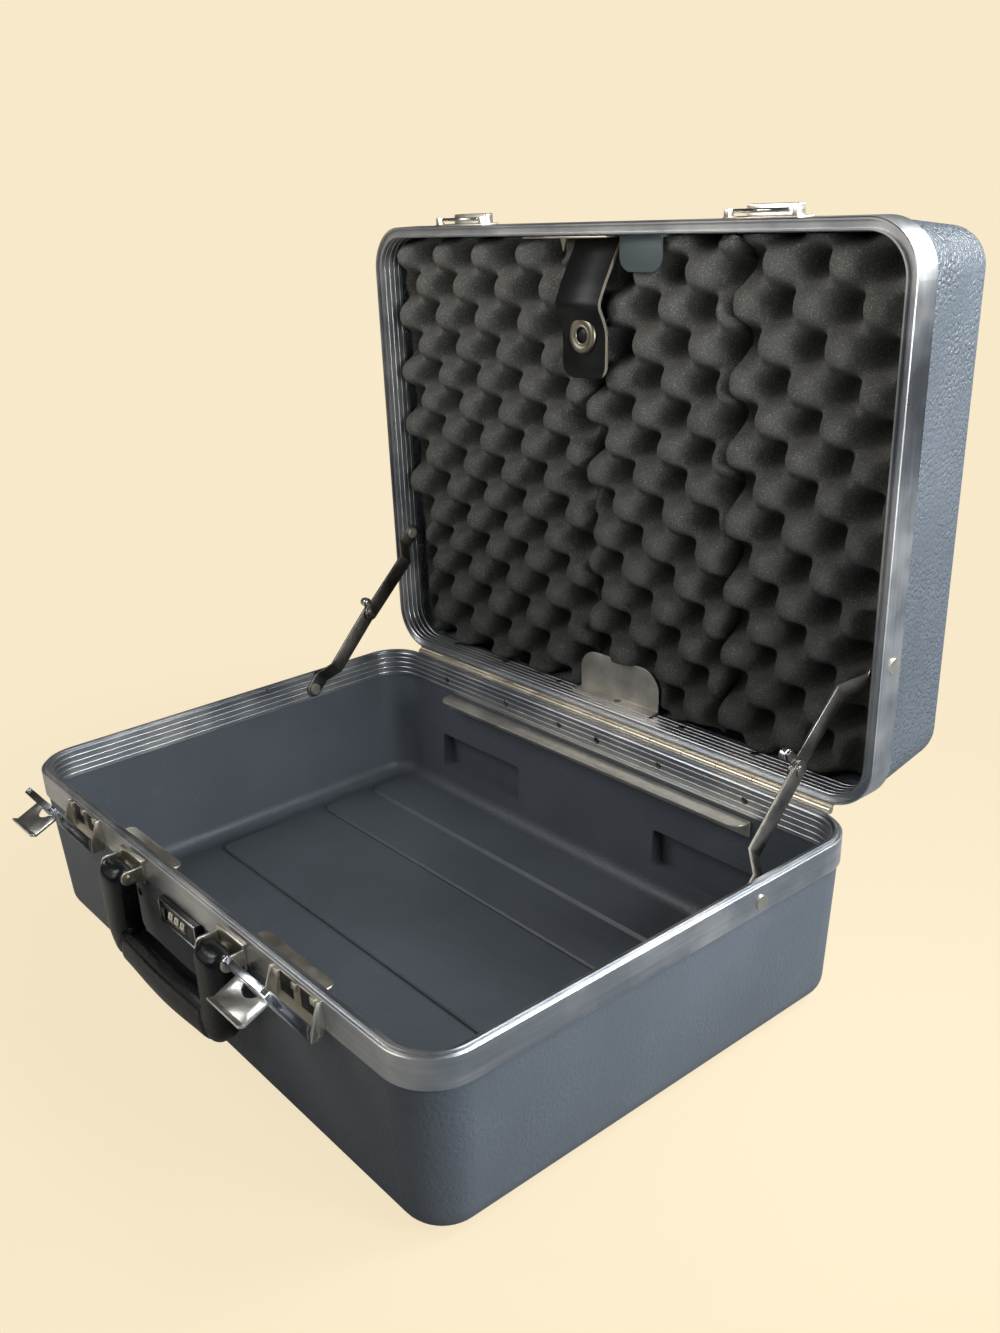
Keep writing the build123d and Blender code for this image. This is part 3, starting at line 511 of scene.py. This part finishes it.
def skin_of(name):
    if name in skins:
        return skins[name]
    for start, skin in skins_by_start.items():
        if name.startswith(start):
            return skin
    return steel_skin


def paint_nodes():
    for name, obj in nodes.items():
        if not obj.material_slots:
            obj.data.materials.append(skin_of(name))
        for place in obj.material_slots:
            place.material = skin_of(name)


# Pieces
def in_scene(name, data):
    obj = bpy.data.objects.new(name, data)
    bpy.context.scene.collection.objects.link(obj)
    return obj


def smoothed(mesh, crease=None):
    """Shades a mesh smooth, but for edges sharper than crease degrees."""
    for face in mesh.polygons:
        face.use_smooth = True
    if crease:
        mesh.set_sharp_from_angle(angle=math.radians(crease))


def new_mesh(name, points, faces, material):
    mesh = bpy.data.meshes.new(name)
    mesh.from_pydata([tuple(p) for p in points], [], faces)
    mesh.update()
    mesh.materials.append(material)
    smoothed(mesh)
    return in_scene(name, mesh)


def ride(obj, body):
    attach(obj, body)


def swept(name, rings, material, joined=False):
    """A tube through rings of points, all with the same count, its ends capped or joined together."""
    count = len(rings[0])
    last = len(rings) - 1
    faces = []
    for k in range(len(rings) if joined else last):
        here = k * count
        there = (k + 1) % len(rings) * count
        for i in range(count):
            j = (i + 1) % count
            faces.append((here + i, here + j, there + j, there + i))
    if not joined:
        faces.append(tuple(reversed(range(count))))
        faces.append(tuple(last * count + i for i in range(count)))
    obj = new_mesh(name, [p for ring in rings for p in ring], faces, material)
    work = bmesh.new()
    work.from_mesh(obj.data)
    bmesh.ops.recalc_face_normals(work, faces=work.faces)
    work.to_mesh(obj.data)
    work.free()
    return obj


def lathe(name, centre, outward, profile, body, material, count=40):
    """A turned piece: profile is (radius, height) from its foot up, and may end where it starts."""
    turn = Vector(outward).normalized().to_track_quat("Z", "Y")
    joined = profile[0] == profile[-1]
    rings = []
    for radius, rise in profile[:-1] if joined else profile:
        ring = []
        for k in range(count):
            angle = 2 * math.pi * k / count
            spot = Vector((radius * math.cos(angle), radius * math.sin(angle), rise))
            ring.append(Vector(centre) + turn @ spot)
        rings.append(ring)
    piece = swept(name, rings, material, joined)
    ride(piece, body)
    return piece


def soft_bar(name, middle, half, material, bevel=0.3):
    """A block with rounded edges."""
    mesh = bpy.data.meshes.new(name)
    work = bmesh.new()
    bmesh.ops.create_cube(work, size=2.0)
    bmesh.ops.scale(work, vec=half, verts=work.verts)
    bmesh.ops.bevel(work, geom=work.edges, offset=min(half) * bevel, segments=2, profile=0.5, affect="EDGES")
    bmesh.ops.translate(work, vec=middle, verts=work.verts)
    work.to_mesh(mesh)
    work.free()
    mesh.materials.append(material)
    smoothed(mesh, crease_angle)
    return in_scene(name, mesh)


def refined(name, body):
    """The same metal piece with its sharp edges rounded over."""
    source = nodes[name]
    mesh = source.data.copy()
    mesh.transform(source.matrix_world)
    piece = in_scene(name + "_fine", mesh)
    work = bmesh.new()
    work.from_mesh(mesh)
    bmesh.ops.remove_doubles(work, verts=work.verts, dist=weld_distance)
    bmesh.ops.dissolve_limit(work, angle_limit=math.radians(flat_angle), verts=work.verts, edges=work.edges)
    limit = math.radians(bevel_angle)
    sharp = [e for e in work.edges if len(e.link_faces) == 2 and e.calc_face_angle(0) > limit]
    bmesh.ops.bevel(work, geom=sharp, offset=edge_bevel, segments=2, profile=0.5, affect="EDGES",
                    clamp_overlap=True)
    work.to_mesh(mesh)
    work.free()
    smoothed(mesh, crease_angle)
    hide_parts(name)
    ride(piece, body)


def refine_metal():
    for side in sides:
        refined(f"front_bracket_{side}", "base")
        refined(f"handle_bracket_{side}", "base")
        refined(f"latch_base_{side}", "base")
        refined(f"latch_hasp_{side}", f"latch_hasp_{side}")
        refined(f"latch_lever_{side}", f"latch_lever_{side}")
        refined(f"keeper_{side}", "lid")
        refined(f"stay_lower_{side}", f"stay_lower_{side}")
        refined(f"stay_upper_{side}", f"stay_upper_{side}")
        refined(f"stay_knob_{side}", f"stay_upper_{side}")
    refined("rear_rail", "base")
    refined("lock_housing", "base")
    refined("strap_tab", "lid")
    refined("strap_plate", "lid")
    refined("hinge_plate", "lid")


# Foam: one height field for each pad
def smooth_step(value):
    value = np.clip(value, 0.0, 1.0)
    return value * value * (3 - 2 * value)


def egg_crate(x, z, phase):
    """Depth behind the peaks, 0 on a peak and 1 in a pit."""
    u = 2 * math.pi * (x - phase[0]) / foam_pitch_x
    v = 2 * math.pi * (z - phase[1]) / foam_pitch_z
    height = np.maximum(0.0, 1 + np.cos(u) * np.cos(v)) / 2
    return 1 - smooth_step(height ** foam_fullness)


def wobble(x, z, seed):
    """A few long waves added up, for rows that aren't quite even."""
    rng = np.random.default_rng(seed)
    total = np.zeros_like(x)
    for _ in range(wave_count):
        pace_x, pace_z = rng.uniform(-wave_pace, wave_pace, 2)
        wave = np.sin(pace_x * x + pace_z * z + rng.uniform(0, wave_turn))
        total += wave * rng.uniform(wave_least, 1.0)
    return total / wave_divisor


def foam_grid(name):
    """Points of a pad's front in x and z; the outer corners of the side pads are round."""
    low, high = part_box(name)
    columns = int((high.x - low.x) / foam_step)
    rows = int((foam_high.z - foam_low.z) / foam_step)
    x, z = np.meshgrid(np.linspace(low.x, high.x, columns + 1),
                       np.linspace(foam_low.z, foam_high.z, rows + 1))
    drop = np.maximum(0.0, foam_corner - np.minimum(z - foam_low.z, foam_high.z - z))
    inset = foam_corner - np.sqrt(np.maximum(0.0, foam_corner ** 2 - drop ** 2))
    share = (high.x - low.x - inset) / (high.x - low.x)
    if name == "foam_left":
        x = high.x - (high.x - x) * share
    if name == "foam_right":
        x = low.x + (x - low.x) * share
    return x, z


def pushed_back(x, z, low, high, margin, depth, y):
    """Foam kept behind a plate or strap: a dent with soft edges round its box."""
    dx = np.maximum(low[0] - margin - x, x - high[0] - margin)
    dz = np.maximum(low[1] - margin - z, z - high[1] - margin)
    outside = np.maximum(dx, dz)
    weight = smooth_step(1 - outside / pocket_fade)
    return np.where(outside < pocket_fade, np.maximum(y, y + (depth - y) * weight), y)


def with_pockets(x, z, y):
    """Room for the folded stays, the plate on the hinge side, the strap, its plate and the tab."""
    beside = smooth_step((np.abs(x) - stay_pocket_x) / stay_pocket_x_fade)
    below = smooth_step((stay_pocket_top - z) / stay_pocket_top_fade)
    y = y + np.maximum(0.0, mouth_y + stay_pocket - y) * beside * below
    strap_root = strap_high.z - strap_root_height
    pockets = [
        ((plate_low.x, plate_low.z), (plate_high.x, plate_high.z - plate_pocket_top), 0.0,
         plate_high.y + plate_pocket_gap),
        ((strap_low.x, strap_root), (strap_high.x, strap_high.z), pocket_margin, mouth_y + strap_root_pocket),
        ((strap_low.x, strap_low.z), (strap_high.x, strap_high.z), pocket_margin, mouth_y + strap_pocket),
        ((tab_low.x, tab_low.z - tab_pocket_below), (tab_high.x, tab_high.z + tab_pocket_above),
         pocket_margin, mouth_y + tab_pocket),
        (strap_plate_low, strap_plate_high, pocket_margin, mouth_y + strap_plate_pocket),
    ]
    for low, high, margin, depth in pockets:
        y = pushed_back(x, z, low, high, margin, depth, y)
    return y


def foam_front(name, x, z):
    """Depth y of a pad's front at each point of its grid."""
    seed = foam_seeds[name]
    bend_x = wobble(x, z, seed) * foam_bend_x
    bend_z = wobble(x, z, seed + foam_bend_seed) * foam_bend_z
    if name == "foam_centre":
        bend_x = bend_x - foam_shear * np.maximum(0.0, foam_shear_below - z)
    shape = egg_crate(x + bend_x, z + bend_z, foam_phase[name])
    y = mouth_y + foam_peak_behind_mouth + foam_relief * shape
    swell = wobble(x * foam_swell_stretch, z * foam_swell_stretch, seed + foam_swell_seed)
    y += swell * foam_swell
    left = x - x.min(axis=1, keepdims=True)
    right = x.max(axis=1, keepdims=True) - x
    edge = np.minimum(np.minimum(left, right), np.minimum(z - foam_low.z, foam_high.z - z))
    y += foam_edge_round * (1 - smooth_step(edge / foam_edge_reach)) ** 2
    return with_pockets(x, z, y)


def foam_pad(name):
    x, z = foam_grid(name)
    front = np.stack([x, foam_front(name, x, z), z], -1).reshape(-1, 3)
    rows, across = x.shape
    faces = []
    for j in range(rows - 1):
        for i in range(across - 1):
            a = j * across + i
            faces.append((a, a + 1, a + 1 + across, a + across))
    last = (rows - 1) * across
    rim = list(range(across))
    rim += [j * across + across - 1 for j in range(1, rows)]
    rim += [last + i for i in range(across - 2, -1, -1)]
    rim += [j * across for j in range(rows - 2, 0, -1)]
    middle = front.mean(axis=0)
    back = middle + (front[rim] - middle) * foam_back_share
    back[:, 1] = foam_high.y - foam_back_gap
    first = len(front)
    for k, here in enumerate(rim):
        after = (k + 1) % len(rim)
        faces.append((rim[after], here, first + k, first + after))
    faces.append(tuple(range(first, first + len(rim))))
    pad = new_mesh(name + "_crate", np.concatenate([front, back]).tolist(), faces, foam_skin)
    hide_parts(name)
    ride(pad, "lid")


# Ribs of the metal bands
def opened(x, y, z):
    """A point of the closed lid, swung to the open pose."""
    return x, hinge_y + (z - hinge_z), hinge_z - (y - hinge_y)


def rounded_loop(half_x, half_y, radius):
    """Points round a rounded rectangle, each with the direction out of it."""
    loop = []
    for quarter, (side_x, side_y) in enumerate(((1, -1), (1, 1), (-1, 1), (-1, -1))):
        centre_x = side_x * (half_x - radius)
        centre_y = side_y * (half_y - radius)
        for k in range(corner_steps + 1):
            turn = math.radians(-90 + 90 * quarter + 90 * k / corner_steps)
            out_x = math.cos(turn)
            out_y = math.sin(turn)
            loop.append((centre_x + radius * out_x, centre_y + radius * out_y, out_x, out_y))
    return loop


def band_rib(name, height, on_lid):
    """A low rib all round the inside of a band, at a height of the closed case."""
    profile = [(rib_rise * rise, share) for rise, share in rib_profile]
    profile = [(-rib_sink, -1.0)] + profile + [(-rib_sink, 1.0)]
    rings = []
    for x, y, out_x, out_y in rounded_loop(case_half_width - band_thick, case_half_depth - band_thick,
                                           case_corner - band_thick):
        ring = []
        for inward, share in profile:
            place = (x - out_x * inward, y - out_y * inward, height + share * rib_half_width)
            ring.append(opened(*place) if on_lid else place)
        rings.append(ring)
    rib = swept(name, rings, lid_band_skin if on_lid else band_skin, joined=True)
    ride(rib, "lid" if on_lid else "base")


def add_ribs():
    for k in range(rib_count):
        step = rib_first + rib_pitch * k
        band_rib(f"base_band_rib_{k}", rim_z - step, False)
        band_rib(f"lid_band_rib_{k}", rim_z + lid_rim_gap + step, True)


# Rivets, as low domes
def rivet(name, foot, outward, body, radius=rivet_head, rise=rivet_rise):
    profile = []
    for k in range(rivet_rings):
        turn = k / (rivet_rings - 1) * math.pi / 2 * rivet_dome_share
        profile.append((radius * math.cos(turn), rise * math.sin(turn)))
    lathe(name, foot, outward, profile, body, rivet_skin, rivet_sides)


def add_rivets():
    z = base_high.z - base_rivet_drop
    out_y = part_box("base_hinge_leaf")[1].y - base_rivet_behind_leaf
    for i, x in enumerate(base_rivets_x):
        rivet(f"base_rivet_in_{i}", (x, band_inner_y, z), (0, -1, 0), "base")
        rivet(f"base_rivet_out_{i}", (x, out_y, z), (0, 1, 0), "base")
    for i, x in enumerate(keeper_rivets_x):
        rivet(f"keeper_rivet_{i}", (x, mouth_y + keeper_rivet_y, lid_top_inner_z), (0, 0, -1), "lid")
    rivet("front_button", front_button, (0, -1, 0), "base", front_button_head, front_button_rise)
    for i, x in enumerate(lid_rivets_x):
        over_plate = plate_low.x < x < plate_high.x
        z = plate_low.z + plate_rivet_z if over_plate else lid_floor_z
        rivet(f"lid_rivet_in_{i}", (x, mouth_y + lid_rivet_y, z), (0, 0, 1), "lid")


# Handle
def handle_path():
    """Middle line from the left end to the right: x, z, heading, and 1 on a leg to 0 on the grip."""
    low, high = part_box("handle")
    grip_z = low.z + handle_grip_half - handle_sag
    radius = handle_path_radius
    inner_x = handle_leg_x - radius
    left = []
    for k in range(handle_leg_steps):
        z = high.z - handle_top_gap - (high.z - grip_z - radius) * k / handle_leg_steps
        left.append((-handle_leg_x, z, -90, 1.0))
    for k in range(handle_turn_steps + 1):
        degrees = 90 * k / handle_turn_steps
        turn = math.radians(degrees)
        z = grip_z + radius - radius * math.sin(turn)
        left.append((-inner_x - radius * math.cos(turn), z, degrees - 90, 1 - degrees / 90))
    grip = []
    for k in range(1, 2 * handle_turn_steps):
        share = k / handle_turn_steps - 1
        grip.append((inner_x * share, grip_z - handle_belly * (1 - share ** 2) ** 2, 0, 0.0))
    return left + grip + [(-x, z, -heading, leg) for x, z, heading, leg in reversed(left)]


def rounded_square(half_a, half_b):
    ring = []
    for k in range(handle_sides):
        turn = 2 * math.pi * k / handle_sides
        a, b = math.cos(turn), math.sin(turn)
        ring.append((math.copysign(half_a * abs(a) ** (2 / handle_squareness), a),
                     math.copysign(half_b * abs(b) ** (2 / handle_squareness), b)))
    return ring


def handle_section(x, z, leg, top):
    """Half width and half thickness of the handle at a point of its middle line."""
    turned = 90 * (1 - leg)
    grip = float(smooth_step((turned - handle_groove_turn) / handle_blend_turn + 0.5))
    swell = handle_swell * (1 - (x / (handle_leg_x - handle_path_radius)) ** 2) if leg == 0 else 0.0
    half_a = handle_leg_half + (handle_grip_half + swell - handle_leg_half) * grip
    half_b = handle_half_thick + swell / 2 * grip
    groove = handle_groove * math.exp(-((turned - handle_groove_turn) / handle_groove_spread) ** 2)
    near_top = max(0.0, 1 - (top - z) / handle_top_round)
    shrink = math.sqrt(1 - near_top ** 2)
    narrow = 1 - handle_top_narrow * (1 - shrink)
    return (half_a - groove) * narrow, (half_b - groove) * shrink


def handle_piece():
    """Moulded handle: padded legs that wrap round the ends of a slimmer grip, with ribs inside them."""
    low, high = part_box("handle")
    middle_y = (low.y + high.y) / 2 - handle_out
    rings = []
    for x, z, heading, leg in handle_path():
        turn = math.radians(heading)
        across = Vector((-math.sin(turn), 0, math.cos(turn)))
        ring = []
        for a, b in rounded_square(*handle_section(x, z, leg, high.z)):
            ring.append(Vector((x, middle_y + b, z)) + across * a)
        rings.append(ring)
    piece = swept("handle_padded", rings, handle_skin)
    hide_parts("handle")
    ride(piece, "handle")
    for side in (-1, 1):
        for k in range(handle_rib_count):
            y = middle_y + (k - (handle_rib_count - 1) / 2) * handle_rib_pitch
            place = (side * (handle_leg_x - handle_leg_half), y, high.z - handle_rib_drop)
            rib = soft_bar(f"handle_rib_{side + 1}_{k}", place, handle_rib_half, handle_skin)
            ride(rib, "handle")


# Strap and its snap
def smooth_line(points, count):
    """Even points on a smooth curve through the given ones."""
    points = np.array(points)
    knots = np.concatenate([[0], np.cumsum(np.linalg.norm(np.diff(points, axis=0), axis=1))])
    slope = np.gradient(points, knots, axis=0)
    line = []
    for at in np.linspace(0, knots[-1], count):
        k = min(len(points) - 2, int(np.searchsorted(knots, at, side="right")) - 1)
        span = knots[k + 1] - knots[k]
        u = (at - knots[k]) / span
        line.append((2 * u ** 3 - 3 * u ** 2 + 1) * points[k] + (3 * u ** 2 - 2 * u ** 3) * points[k + 1]
                    + (u ** 3 - 2 * u ** 2 + u) * span * slope[k] + (u ** 3 - u ** 2) * span * slope[k + 1])
    return np.array(line)


def strap_piece():
    """Webbing with rounded lower corners and a pale cut edge."""
    line = smooth_line(strap_line, strap_steps)
    run = np.concatenate([[0], np.cumsum(np.linalg.norm(np.diff(line, axis=0), axis=1))])
    tangent = np.gradient(line, axis=0)
    tangent /= np.linalg.norm(tangent, axis=1, keepdims=True)
    half = (strap_high.x - strap_low.x) / 2
    middle = (strap_high.x + strap_low.x) / 2
    soft = strap_half_thick - strap_edge_round
    rings = []
    for (y, z), (along_y, along_z), left in zip(line, tangent, run[-1] - run):
        drop = max(0.0, strap_tip_corner - left)
        width = half - (strap_tip_corner - math.sqrt(max(0.0, strap_tip_corner ** 2 - drop ** 2)))
        inner = width - strap_edge_round
        ring = []
        for across, out in ((-inner, -strap_half_thick), (-width, -soft), (-width, soft),
                            (-inner, strap_half_thick), (inner, strap_half_thick), (width, soft),
                            (width, -soft), (inner, -strap_half_thick)):
            ring.append((middle + across, mouth_y + y - along_z * out, z + along_y * out))
        rings.append(ring)
    piece = swept("strap_webbing", rings, strap_skin)
    piece.data.materials.append(edge_skin)
    for face in piece.data.polygons:
        if abs(face.normal.x) > strap_edge_facing:
            face.material_index = 1
    piece.data.set_sharp_from_angle(angle=math.radians(strap_crease))
    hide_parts("strap")
    ride(piece, "lid")


def snap_pieces():
    """Domed ring of the snap, with its dark socket behind."""
    low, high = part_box("strap_ring")
    centre = ((low.x + high.x) / 2, high.y, (low.z + high.z) / 2)
    radius = (high.x - low.x) / 2
    thick = high.y - low.y
    outline = [(radius * r, thick * t) for r, t in snap_ring]
    ring = lathe("snap_ring", centre, (0, -1, 0), outline, "lid", snap_skin)
    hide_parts("strap_ring")
    outline = [(radius * r, thick * t) for r, t in snap_socket]
    lathe("snap_socket", centre, (0, -1, 0), outline, "lid", mark_and_shade_skin)


# Latches and lock
def latch_spring(side):
    """Coil spring on a latch's rod, seen in the notch of its lever."""
    low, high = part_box(f"latch_rod_{side}")
    middle = (low + high) / 2
    steps = spring_turns * spring_turn_steps
    rings = []
    for k in range(steps + 1):
        turn = 2 * math.pi * k / spring_turn_steps
        out = Vector((0, math.cos(turn), math.sin(turn)))
        centre = middle + Vector((spring_length * (k / steps - 0.5), 0, 0)) + out * spring_radius
        ring = []
        for s in range(spring_wire_sides):
            angle = 2 * math.pi * s / spring_wire_sides
            aside = Vector((spring_wire * math.sin(angle), 0, 0))
            ring.append(centre + out * spring_wire * math.cos(angle) + aside)
        rings.append(ring)
    ride(swept(f"latch_spring_{side}", rings, hasp_skin), f"latch_hasp_{side}")


def latch_trim(side):
    """Painted shade for the openings of a latch's base plate as near-black patches, and the lugs and bar of
    its keeper.
    """
    low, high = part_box(f"latch_base_{side}")
    middle = (low.x + high.x) / 2
    # Painted shade: flat near-black patches where the plate's openings would be dark inside
    for k, share in enumerate((-1, 1)):
        place = (middle + share * hole_shade_shift, base_low.y - hole_shade_out, high.z - hole_shade_drop)
        ride(soft_bar(f"latch_hole_shade_{side}_{k}", place, hole_shade_half, mark_and_shade_skin), "base")
    low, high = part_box(f"keeper_{side}")
    middle = (low.x + high.x) / 2
    y = low.y + keeper_box_y
    for k, share in enumerate((-1, 1)):
        place = (middle + share * keeper_lug_x, y, high.z - keeper_lug_drop)
        ride(soft_bar(f"keeper_lug_{side}_{k}", place, keeper_lug_half, steel_skin), "lid")
    start = (middle - keeper_bar_half, y - keeper_bar_out, high.z - keeper_bar_drop)
    outline = [(keeper_bar_radius, 0), (keeper_bar_radius, 2 * keeper_bar_half)]
    lathe(f"keeper_bar_{side}", start, (1, 0, 0), outline, "lid", chrome_skin, keeper_bar_sides)


def lock_trim():
    """Thin bright frame round the lock, and its square button."""
    low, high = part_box("lock_housing")
    half_x = (high.x - low.x) / 2 - lock_frame_inset
    half_z = (high.z - low.z) / 2 - lock_frame_inset
    middle = Vector((0, low.y, (high.z + low.z) / 2))
    level = (half_x, lock_frame_half)
    upright = (lock_frame_half, half_z)
    strips = ((0, half_z, level), (0, -half_z, level), (half_x, 0, upright), (-half_x, 0, upright))
    for k, (x, z, half) in enumerate(strips):
        size = (half[0] + lock_frame_lap, lock_frame_rise, half[1] + lock_frame_lap)
        ride(soft_bar(f"lock_frame_{k}", middle + Vector((x, 0, z)), size, hasp_skin), "base")
    place = middle + lock_button_place
    button = soft_bar("lock_button", place, lock_button_half, lock_skin, lock_button_bevel)
    ride(button, "base")


def digit_mesh(name, digit):
    """A raised number, flat in its own x and y."""
    text = bpy.data.curves.new(name, "FONT")
    text.body = str(digit)
    text.size = digit_size
    text.align_x = "CENTER"
    text.align_y = "CENTER"
    text.extrude = digit_rise
    holder = bpy.data.objects.new(name, text)
    mesh = bpy.data.meshes.new_from_object(holder)
    bpy.data.objects.remove(holder)
    mesh.materials.clear()
    mesh.materials.append(mark_and_shade_skin)
    return mesh


def dial_digits():
    """Plain numbers on the flats round each dial."""
    step = math.tau / dial_faces
    reach = dial_radius * math.cos(step / 2)
    for number in (1, 2, 3):
        low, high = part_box(f"dial_{number}")
        for flat in range(dial_faces):
            name = f"digit_{number}_{flat}"
            mesh = digit_mesh(name, (flat + dial_shift * number) % dial_faces)
            turn = step * (flat + 0.5)
            out = Vector((0, -math.cos(turn), math.sin(turn)))
            up = Vector((0, math.sin(turn), math.cos(turn)))
            place = Matrix((up.cross(out), up, out)).transposed().to_4x4()
            place.translation = (low + high) / 2 + out * reach
            mesh.transform(place)
            ride(in_scene(name, mesh), f"dial_{number}")


# Stage, light and camera
def set_stage():
    """Cream floor that merges with the backdrop away from the object, grey in its reflections."""
    skin = Skin("backdrop")
    cream = linear(backdrop_colour)
    across = skin.line(skin.axis("X"), (floor_from_x, 0.0), (floor_to_x, 1.0))
    away = skin.vector_maths("LENGTH", {0: skin.place}, "Value")
    fade = skin.greys(away, (floor_fade_from, floor_glow_near), (floor_fade_to, 1.0))
    reflected = skin.source("ShaderNodeBsdfDiffuse", {"Color": skin.ramp(across, floor_stops)})
    lit = skin.source("ShaderNodeBsdfDiffuse", {"Color": cream})
    glow = skin.source("ShaderNodeEmission", {"Color": cream})
    material = skin.finished(skin.for_camera(reflected, skin.mix_shaders(fade, lit, glow)))
    corners = [(x * floor_half, y * floor_half, -floor_drop) for x, y in ((-1, -1), (1, -1), (1, 1), (-1, 1))]
    new_mesh("floor", corners, [(0, 1, 2, 3)], material)


def set_world():
    """Cream for the camera; for light and gloss a dim soft room, brighter behind to the right."""
    world = bpy.data.worlds.new("studio")
    bpy.context.scene.world = world
    world.use_nodes = True
    sky = Wiring(world.node_tree, "Generated")
    side = Vector(room_bright_side).normalized()
    facing = sky.vector_maths("DOT_PRODUCT", {0: sky.place, 1: side}, "Value")
    lobe = sky.maths("POWER", sky.maths("MAXIMUM", facing, 0.0), room_lobe)
    strength = sky.line(lobe, (0.0, room_dark), (1.0, room_bright))
    colour = sky.mix(lobe, room_warm, room_cool)
    room = sky.source("ShaderNodeBackground", {"Color": colour, "Strength": strength})
    cream = sky.source("ShaderNodeBackground", {"Color": linear(backdrop_colour)})
    sky.source("ShaderNodeOutputWorld", {"Surface": sky.for_camera(room, cream)})


def set_lamps():
    for name, (place, aim, size, power, colour) in lamps.items():
        data = bpy.data.lights.new(name, "AREA")
        data.shape = "RECTANGLE"
        data.size, data.size_y = size
        data.energy = power
        data.color = colour
        obj = in_scene(name, data)
        obj.location = place
        obj.rotation_euler = (Vector(aim) - Vector(place)).to_track_quat("-Z", "Y").to_euler()


def set_camera():
    azimuth = math.radians(camera_azimuth)
    elevation = math.radians(camera_elevation)
    roll = math.radians(camera_roll)
    ahead = Vector((-math.sin(azimuth) * math.cos(elevation), math.cos(azimuth) * math.cos(elevation),
                    -math.sin(elevation)))
    right = ahead.cross(Vector((0, 0, 1))).normalized()
    up = right.cross(ahead)
    turned_right = right * math.cos(roll) + up * math.sin(roll)
    turned_up = up * math.cos(roll) - right * math.sin(roll)
    data = bpy.data.cameras.new("camera")
    data.sensor_fit = "VERTICAL"
    data.sensor_height = sensor_millimetres
    data.lens = focal_pixels / image_height * sensor_millimetres
    data.shift_x = (image_width / 2 - centre_pixel_x) / image_height
    data.shift_y = (centre_pixel_y - image_height / 2) / image_height
    data.clip_start = camera_near
    camera = in_scene("camera", data)
    turn = Matrix((turned_right, turned_up, -ahead)).transposed().to_4x4()
    camera.matrix_world = Matrix.Translation(camera_place) @ turn
    bpy.context.scene.camera = camera


def main():
    paint_nodes()
    refine_metal()
    for name in foam_phase:
        foam_pad(name)
    handle_piece()
    for side in sides:
        latch_spring(side)
    for side in sides:
        latch_trim(side)
    lock_trim()
    strap_piece()
    snap_pieces()
    dial_digits()
    add_ribs()
    add_rivets()
    set_stage()
    set_world()
    set_lamps()
    set_camera()
    bpy.context.scene.view_settings.view_transform = "Standard"


main()
